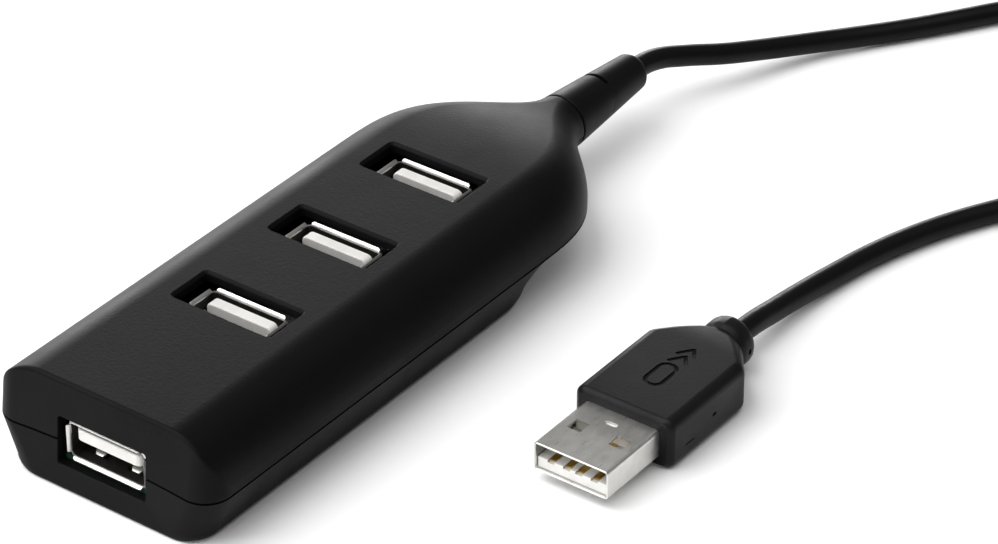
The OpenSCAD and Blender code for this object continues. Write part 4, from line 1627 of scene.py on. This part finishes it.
@dataclass
class Plug:
    """The plug: a folded metal shell round an insulator with four contacts, in a moulded grip with a collar.

    It is built along X from its tip at the origin, then moved to tip.
    """

    tip: Vector
    shell_w: float = 12.0
    shell_t: float = 4.5
    shell_l: float = 11.8
    buried: float = 6.5
    sheet: float = 0.3
    hole_u: float = 6.4
    hole_y: float = 3.3
    hole_side: float = 2.2
    seam_w: float = 0.08
    grip_w: float = 16.0
    grip_t: float = 7.8
    contact_y: tuple[float, ...] = (-3.5, -1.0, 1.0, 3.5)
    contact_w: float = 1.0
    mark_depth: float = 0.22

    def section(self, u: float, width: float, thick: float, radius: float, steps: int = 4) -> list[Vector]:
        """A rounded section across the plug.

        Args:
            u: Its distance from the tip.
            width: Its size across.
            thick: Its height.
            radius: The radius of its corners, which is cut down to what fits.
            steps: The segments of each corner.

        Returns:
            Its points, as a ring.
        """
        least_flat = 0.001
        corner = min(radius, thick / 2 - least_flat, width / 2 - least_flat)
        return placed(rounded(width, thick, corner, steps), axes(Vector((u, 0, 0)), ACROSS, UP))

    def shell(self) -> BMesh:
        """The folded shell, with its latch windows, its stamped slot and the seam below.

        Returns:
            The shell.
        """
        w, t, s = self.shell_w, self.shell_t, self.sheet
        end = self.shell_l + self.buried
        bm = bmesh.new()
        loft(bm, [self.section(u, w - d, t - d, 0.55) for u, d in ((0, 0.12), (0.05, 0.03), (0.12, 0), (end, 0))])
        bore = bmesh.new()
        inner = [(-0.5, 0.14), (0.0, 0.14), (0.06, 0.03), (0.14, 0.0), (end + 0.5, 0.0)]
        loft(bore, [self.section(u, w - 2 * s + d, t - 2 * s + d, 0.3) for u, d in inner])
        bm = combine(bm, bore, Cut.TAKE_AWAY)
        cuts = bmesh.new()
        for y in (-self.hole_y, self.hole_y):
            ring = [p + Vector((self.hole_u, y, 0)) for p in rounded(self.hole_side, self.hole_side, 0.2, 3)]
            loft(cuts, [[p + Vector((0, 0, z)) for p in ring] for z in (-t, t)])
        slot = [p + Vector((self.shell_l - 2.5, 0, 0)) for p in rounded(0.8, 2.0, 0.39, 4)]
        loft(cuts, [[p + Vector((0, 0, z)) for p in slot] for z in (0.5, t)])
        seam = self.seam_w / 2
        slab(cuts, Vector((-WORK_REACH, -seam, -t)), Vector((end + WORK_REACH, seam, -0.5)))
        return combine(bm, cuts, Cut.TAKE_AWAY)

    def insulator(self) -> BMesh:
        """The insulator: a shelf under the contacts, and a block behind them that fills the shell.

        Returns:
            The two as one body.
        """
        w, t = self.shell_w - 2 * self.sheet, self.shell_t - 2 * self.sheet
        end = self.shell_l + self.buried
        low, shelf = -t / 2 + 0.02, -self.sheet + 0.05
        bm = bmesh.new()
        slab(bm, Vector((0.5, -w / 2 + 0.04, low)), Vector((end, w / 2 - 0.04, shelf)), 0.12)
        block = bmesh.new()
        front = Vector((self.shell_l - 3, -w / 2 + 0.3, shelf - 0.5))
        slab(block, front, Vector((end - 0.05, w / 2 - 0.3, t / 2 - 0.03)), 0.15)
        bm = combine(bm, block, Cut.ADD)
        grooves = bmesh.new()
        half = self.contact_w / 2 + 0.08
        for y in self.contact_y:
            slab(grooves, Vector((0, y - half, shelf - 0.36)), Vector((self.shell_l - 3.2, y + half, shelf + 1)))
        return combine(bm, grooves, Cut.TAKE_AWAY)

    def contacts(self) -> BMesh:
        """Four flat contacts in their channels, each with a rounded front end.

        Returns:
            The four contacts.
        """
        bm = bmesh.new()
        z = -self.sheet - 0.05
        points = [(1.0, -0.1), (1.25, 0.0), (1.6, 0.04), (6.0, 0.04), (self.shell_l + self.buried - 0.2, 0.0)]
        widths = [self.contact_w * s for s in (0.7, 0.9, 1.0, 1.0, 1.0)]
        for y in self.contact_y:
            strip(bm, [(Vector((u, y, z + rise)), UP) for u, rise in points], -ACROSS, widths, 0.2)
        return bm

    def mark(self) -> BMesh:
        """A plain decorative mark: an oblong ring and two chevrons.

        Returns:
            The body to sink into the grip's upper face.
        """
        bm = bmesh.new()
        z0, z1 = self.grip_t / 2 - self.mark_depth, self.grip_t / 2 + WORK_REACH
        middle = self.shell_l + 9
        ring = bmesh.new()
        for body, w, t, extra in ((bm, 6.0, 3.2, 0.0), (ring, 4.8, 2.0, 0.5)):
            flat = [p + Vector((middle, 0, 0)) for p in rounded(w, t, t / 2 - 0.05, 8)]
            loft(body, [[p + Vector((0, 0, z)) for p in flat] for z in (z0 - extra, z1 + extra)])
        bm = combine(bm, ring, Cut.TAKE_AWAY)
        for x in (5.4, 7.4):
            arms = []
            for side in (-1, 1):
                arm = bmesh.new()
                slab(arm, Vector((0, 0, z0)), Vector((2.4, 0.6, z1)))
                place = Matrix.Translation((middle + x, 0, 0)) @ Matrix.Rotation(math.radians(145 * side), 4, "Z")
                bmesh.ops.transform(arm, matrix=place, verts=arm.verts)
                arms.append(arm)
            bm = combine(bm, combine(arms[0], arms[1], Cut.ADD), Cut.ADD)
        return bm

    def grip_sections(self) -> list[Section]:
        """The grip's sections, from the front face over the waist to the collar.

        Returns:
            Each as its distance from the front face, its width, its height and the radius of its corners.
        """
        w, t = self.grip_w, self.grip_t
        bevelled_front = [
            (0.0, w - 1.9, t - 1.5, 1.1),
            (0.12, w - 1.4, t - 1.0, 1.2),
            (0.4, w - 0.7, t - 0.5, 1.4),
            (0.7, w - 0.2, t - 0.14, 1.5),
        ]
        body = [(1.0, w, t, 1.6), (6.0, w, t, 1.6), (11.5, w, t, 1.6), (16.9, w, t, 1.65)]
        taper = [
            (17.3, w - 0.06, t, 1.65),
            (17.6, w - 0.3, t, 1.7),
            (17.95, w - 0.8, t, 1.75),
            (18.6, w - 1.75, t, 1.85),
            (19.6, w - 3.2, t - 0.05, 2.0),
            (20.6, w - 4.6, t - 0.2, 2.2),
            (21.5, w - 5.85, t - 0.4, 2.45),
            (22.3, w - 6.9, t - 0.65, 2.7),
        ]
        waist = [
            (22.8, w - 7.7, t - 0.85, 2.95),
            (23.1, w - 8.5, t - 1.15, 3.2),
            (23.35, w - 8.9, t - 1.2, 3.3),
            (23.7, w - 8.85, t - 1.0, 3.4),
            (24.1, w - 8.5, t - 0.5, 3.65),
        ]
        collar = [(24.6, 7.6), (25.7, 7.6), (26.3, 7.4), (26.8, 6.8), (27.15, 5.8), (27.35, 4.8), (27.4, 4.2)]
        return bevelled_front + body + taper + waist + [(u, across, across, across / 2) for u, across in collar]

    def grip(self) -> BMesh:
        """The grip, with the shell's pocket, the mark and the shallow notches in its sides.

        Returns:
            The grip.
        """
        bm = bmesh.new()
        loft(bm, [self.section(self.shell_l + u, w, t, r, 6) for u, w, t, r in self.grip_sections()])
        pocket = bmesh.new()
        loft(pocket, [self.section(u, self.shell_w, self.shell_t, 0.55) for u in (10.0, self.shell_l + self.buried)])
        bm = combine(bm, pocket, Cut.TAKE_AWAY)
        bm = combine(bm, self.mark(), Cut.TAKE_AWAY)
        side_y = self.grip_w / 2
        notches = (
            (10.2, 0.0, 0.9, 0.5, side_y - 0.2, side_y + 1),
            (4.4, -1.2, 2.0, 0.22, side_y - 0.2, side_y + 1),
            (25.2, 0.0, 0.6, 0.9, 3.55, 4.55),
        )
        cuts = bmesh.new()
        for side in (-1, 1):
            for u, z, length, high, *reach in notches:
                near, far = sorted(side * y for y in reach)
                low = Vector((self.shell_l + u - length / 2, near, z - high / 2))
                slab(cuts, low, Vector((self.shell_l + u + length / 2, far, z + high / 2)))
        return combine(bm, cuts, Cut.TAKE_AWAY)

    def build(self) -> list[bpy.types.Object]:
        """Makes, places and dresses the plug's pieces.

        Returns:
            The grip, the shell, the insulator and the contacts.
        """
        made = []
        parts = (
            (self.grip(), "plug_grip_body", Slot.GRIP, "plug_grip"),
            (self.shell(), "plug_shell_sheet", Slot.NICKEL, "plug_shell"),
            (self.insulator(), "plug_insulator_block", Slot.INSULATOR, "plug_insulator"),
            (self.contacts(), "plug_contact_strips", Slot.CONTACT, "plug_contacts"),
        )
        for bm, name, slot, node in parts:
            bmesh.ops.translate(bm, vec=self.tip, verts=bm.verts)
            made.append(commit(bm, name, slot, [node]))
        return made


# ---- what stays as CAD, and the studio ----


@dataclass
class Internals:
    """The CAD nodes. The board, its parts and its wires show as they are, and the rest are stood for by pieces."""

    nodes: dict[str, bpy.types.Object]
    slots: dict[str, str]

    def dress(self) -> None:
        """Gives each CAD node the finish of its slot."""
        for name, made in self.nodes.items():
            made.data.materials.clear()
            made.data.materials.append(FINISHES[Slot(self.slots[name])].material())
            LOG.info("CAD node %s: %s", name, self.slots[name])


@dataclass
class Studio:
    """A pale floor, soft lights and the camera. Its places are in metres."""

    camera_at: Vector = field(default_factory=lambda: Vector((-0.37794, -0.30507, 0.32931)))
    camera_to: Vector = field(default_factory=lambda: Vector((0.00428, -0.0237, 0.0166)))
    lens: float = 151.5
    middle: Vector = field(default_factory=lambda: Vector((0.02, -0.02, 0.01)))
    surround: float = 0.22

    def place_camera(self) -> None:
        """Makes the scene's camera."""
        data = bpy.data.cameras.new("studio_camera")
        data.lens, data.sensor_width = self.lens, 36.0
        data.clip_start, data.clip_end = 0.01, 20.0
        made = bpy.data.objects.new("studio_camera", data)
        bpy.context.scene.collection.objects.link(made)
        made.location = self.camera_at
        made.rotation_mode = "QUATERNION"
        made.rotation_quaternion = (self.camera_to - self.camera_at).to_track_quat("-Z", "Y")
        bpy.context.scene.camera = made

    def lay_floor(self) -> None:
        """Makes the floor, a wide sheet of pale paper."""
        bm = bmesh.new()
        bmesh.ops.create_grid(bm, x_segments=1, y_segments=1, size=2.5)
        mesh = to_mesh(bm, "studio_floor")
        mesh.materials.append(FLOOR_PAPER.material())
        made = bpy.data.objects.new("studio_floor", mesh)
        bpy.context.scene.collection.objects.link(made)

    def light(self, name: str, at: Vector, size: tuple[float, float], power: float) -> None:
        """Adds a soft rectangular light that faces the object's middle.

        Args:
            name: Its name.
            at: Where it stands, in metres.
            size: Its width and height, in metres.
            power: Its power in watts.
        """
        data = bpy.data.lights.new(name, "AREA")
        data.shape, data.energy = "RECTANGLE", power
        data.size, data.size_y = size
        made = bpy.data.objects.new(name, data)
        bpy.context.scene.collection.objects.link(made)
        made.location = at
        made.rotation_mode = "QUATERNION"
        made.rotation_quaternion = (self.middle - at).to_track_quat("-Z", "Y")

    def light_up(self) -> None:
        """Makes the lights and the pale surroundings."""
        world = bpy.data.worlds.new("studio_surround")
        bpy.context.scene.world = world
        world.use_nodes = True
        ground = world.node_tree.nodes["Background"]
        ground.inputs["Color"].default_value = linear("#ffffff")
        ground.inputs["Strength"].default_value = self.surround
        self.light("key_softbox", Vector((-0.45, 0.6, 1.1)), (1.3, 1.3), 20.0)
        self.light("overhead_softbox", Vector((-0.1, -0.25, 1.35)), (1.3, 1.3), 9.0)
        self.light("far_strip", Vector((0.85, 1.1, 0.24)), (1.3, 0.28), 14.0)
        self.light("front_fill", Vector((-1.0, 0.15, 0.2)), (0.6, 0.3), 5.0)
        scene = bpy.context.scene
        scene.view_settings.view_transform = "Standard"
        scene.view_settings.look = "None"
        scene.view_settings.exposure = 0.0


def receptacles() -> list[Receptacle]:
    """The four receptacles, placed by their CAD nodes.

    Returns:
        The three that face up, from the front one, and the one in the front face.
    """
    made = []
    for k in (1, 2, 3):
        back_z = box_mm(f"port_{k}_insulator")[0].z
        low, high = box_mm(f"port_{k}_shell")
        place = Matrix.Translation(((low.x + high.x) / 2, 0, back_z))
        made.append(Receptacle(f"port_{k}", place, high.z - back_z))
    back_x = box_mm("front_port_insulator")[1].x
    mouth_x = box_mm("front_port_shell")[0].x
    place = Matrix.Translation((back_x, 0, FRONT_PORT_Z)) @ Matrix.Rotation(math.radians(-90), 4, "Y")
    return [*made, Receptacle("front_port", place, back_x - mouth_x)]


def main() -> None:
    """Builds the studio, the lead and the hub's pieces in order."""
    logging.basicConfig(level=logging.INFO, format="%(name)s: %(message)s")
    studio = Studio()
    studio.place_camera()
    relief_low, relief_high = box_mm("strain_relief")
    exit_point = Vector((relief_high.x, 0, (relief_low.z + relief_high.z) / 2))
    lead = Lead(exit_point)
    lead_piece = lead.build()
    ports = receptacles()
    case_low, case_high = box_mm("top_shell")
    case = HubCase(
        front_x=case_low.x,
        length=case_high.x - case_low.x,
        width=case_high.y - case_low.y,
        height=case_high.z,
        port_x=[p.place.translation.x for p in ports[:3]],
        front_port_z=ports[3].place.translation.z,
    )
    case.build()
    for port in ports:
        port.build(sideways=port.name == "front_port")
    relief = StrainRelief(relief_low.x, relief_high.x, exit_point.z).build()
    tie = CoilTie(lead.tie_point(), -lead.tie_turn).build()
    shell_low, shell_high = box_mm("plug_shell")
    plug = Plug(Vector((shell_low.x, (shell_low.y + shell_high.y) / 2, (shell_low.z + shell_high.z) / 2)))
    lead.declare([relief, tie, *plug.build()])
    slots = {p["node"]: p["material_slot"] for p in frame["record"]["subparts"]}
    Internals(frame["nodes"], slots).dress()
    studio.lay_floor()
    studio.light_up()


if __name__ == "__main__":
    main()
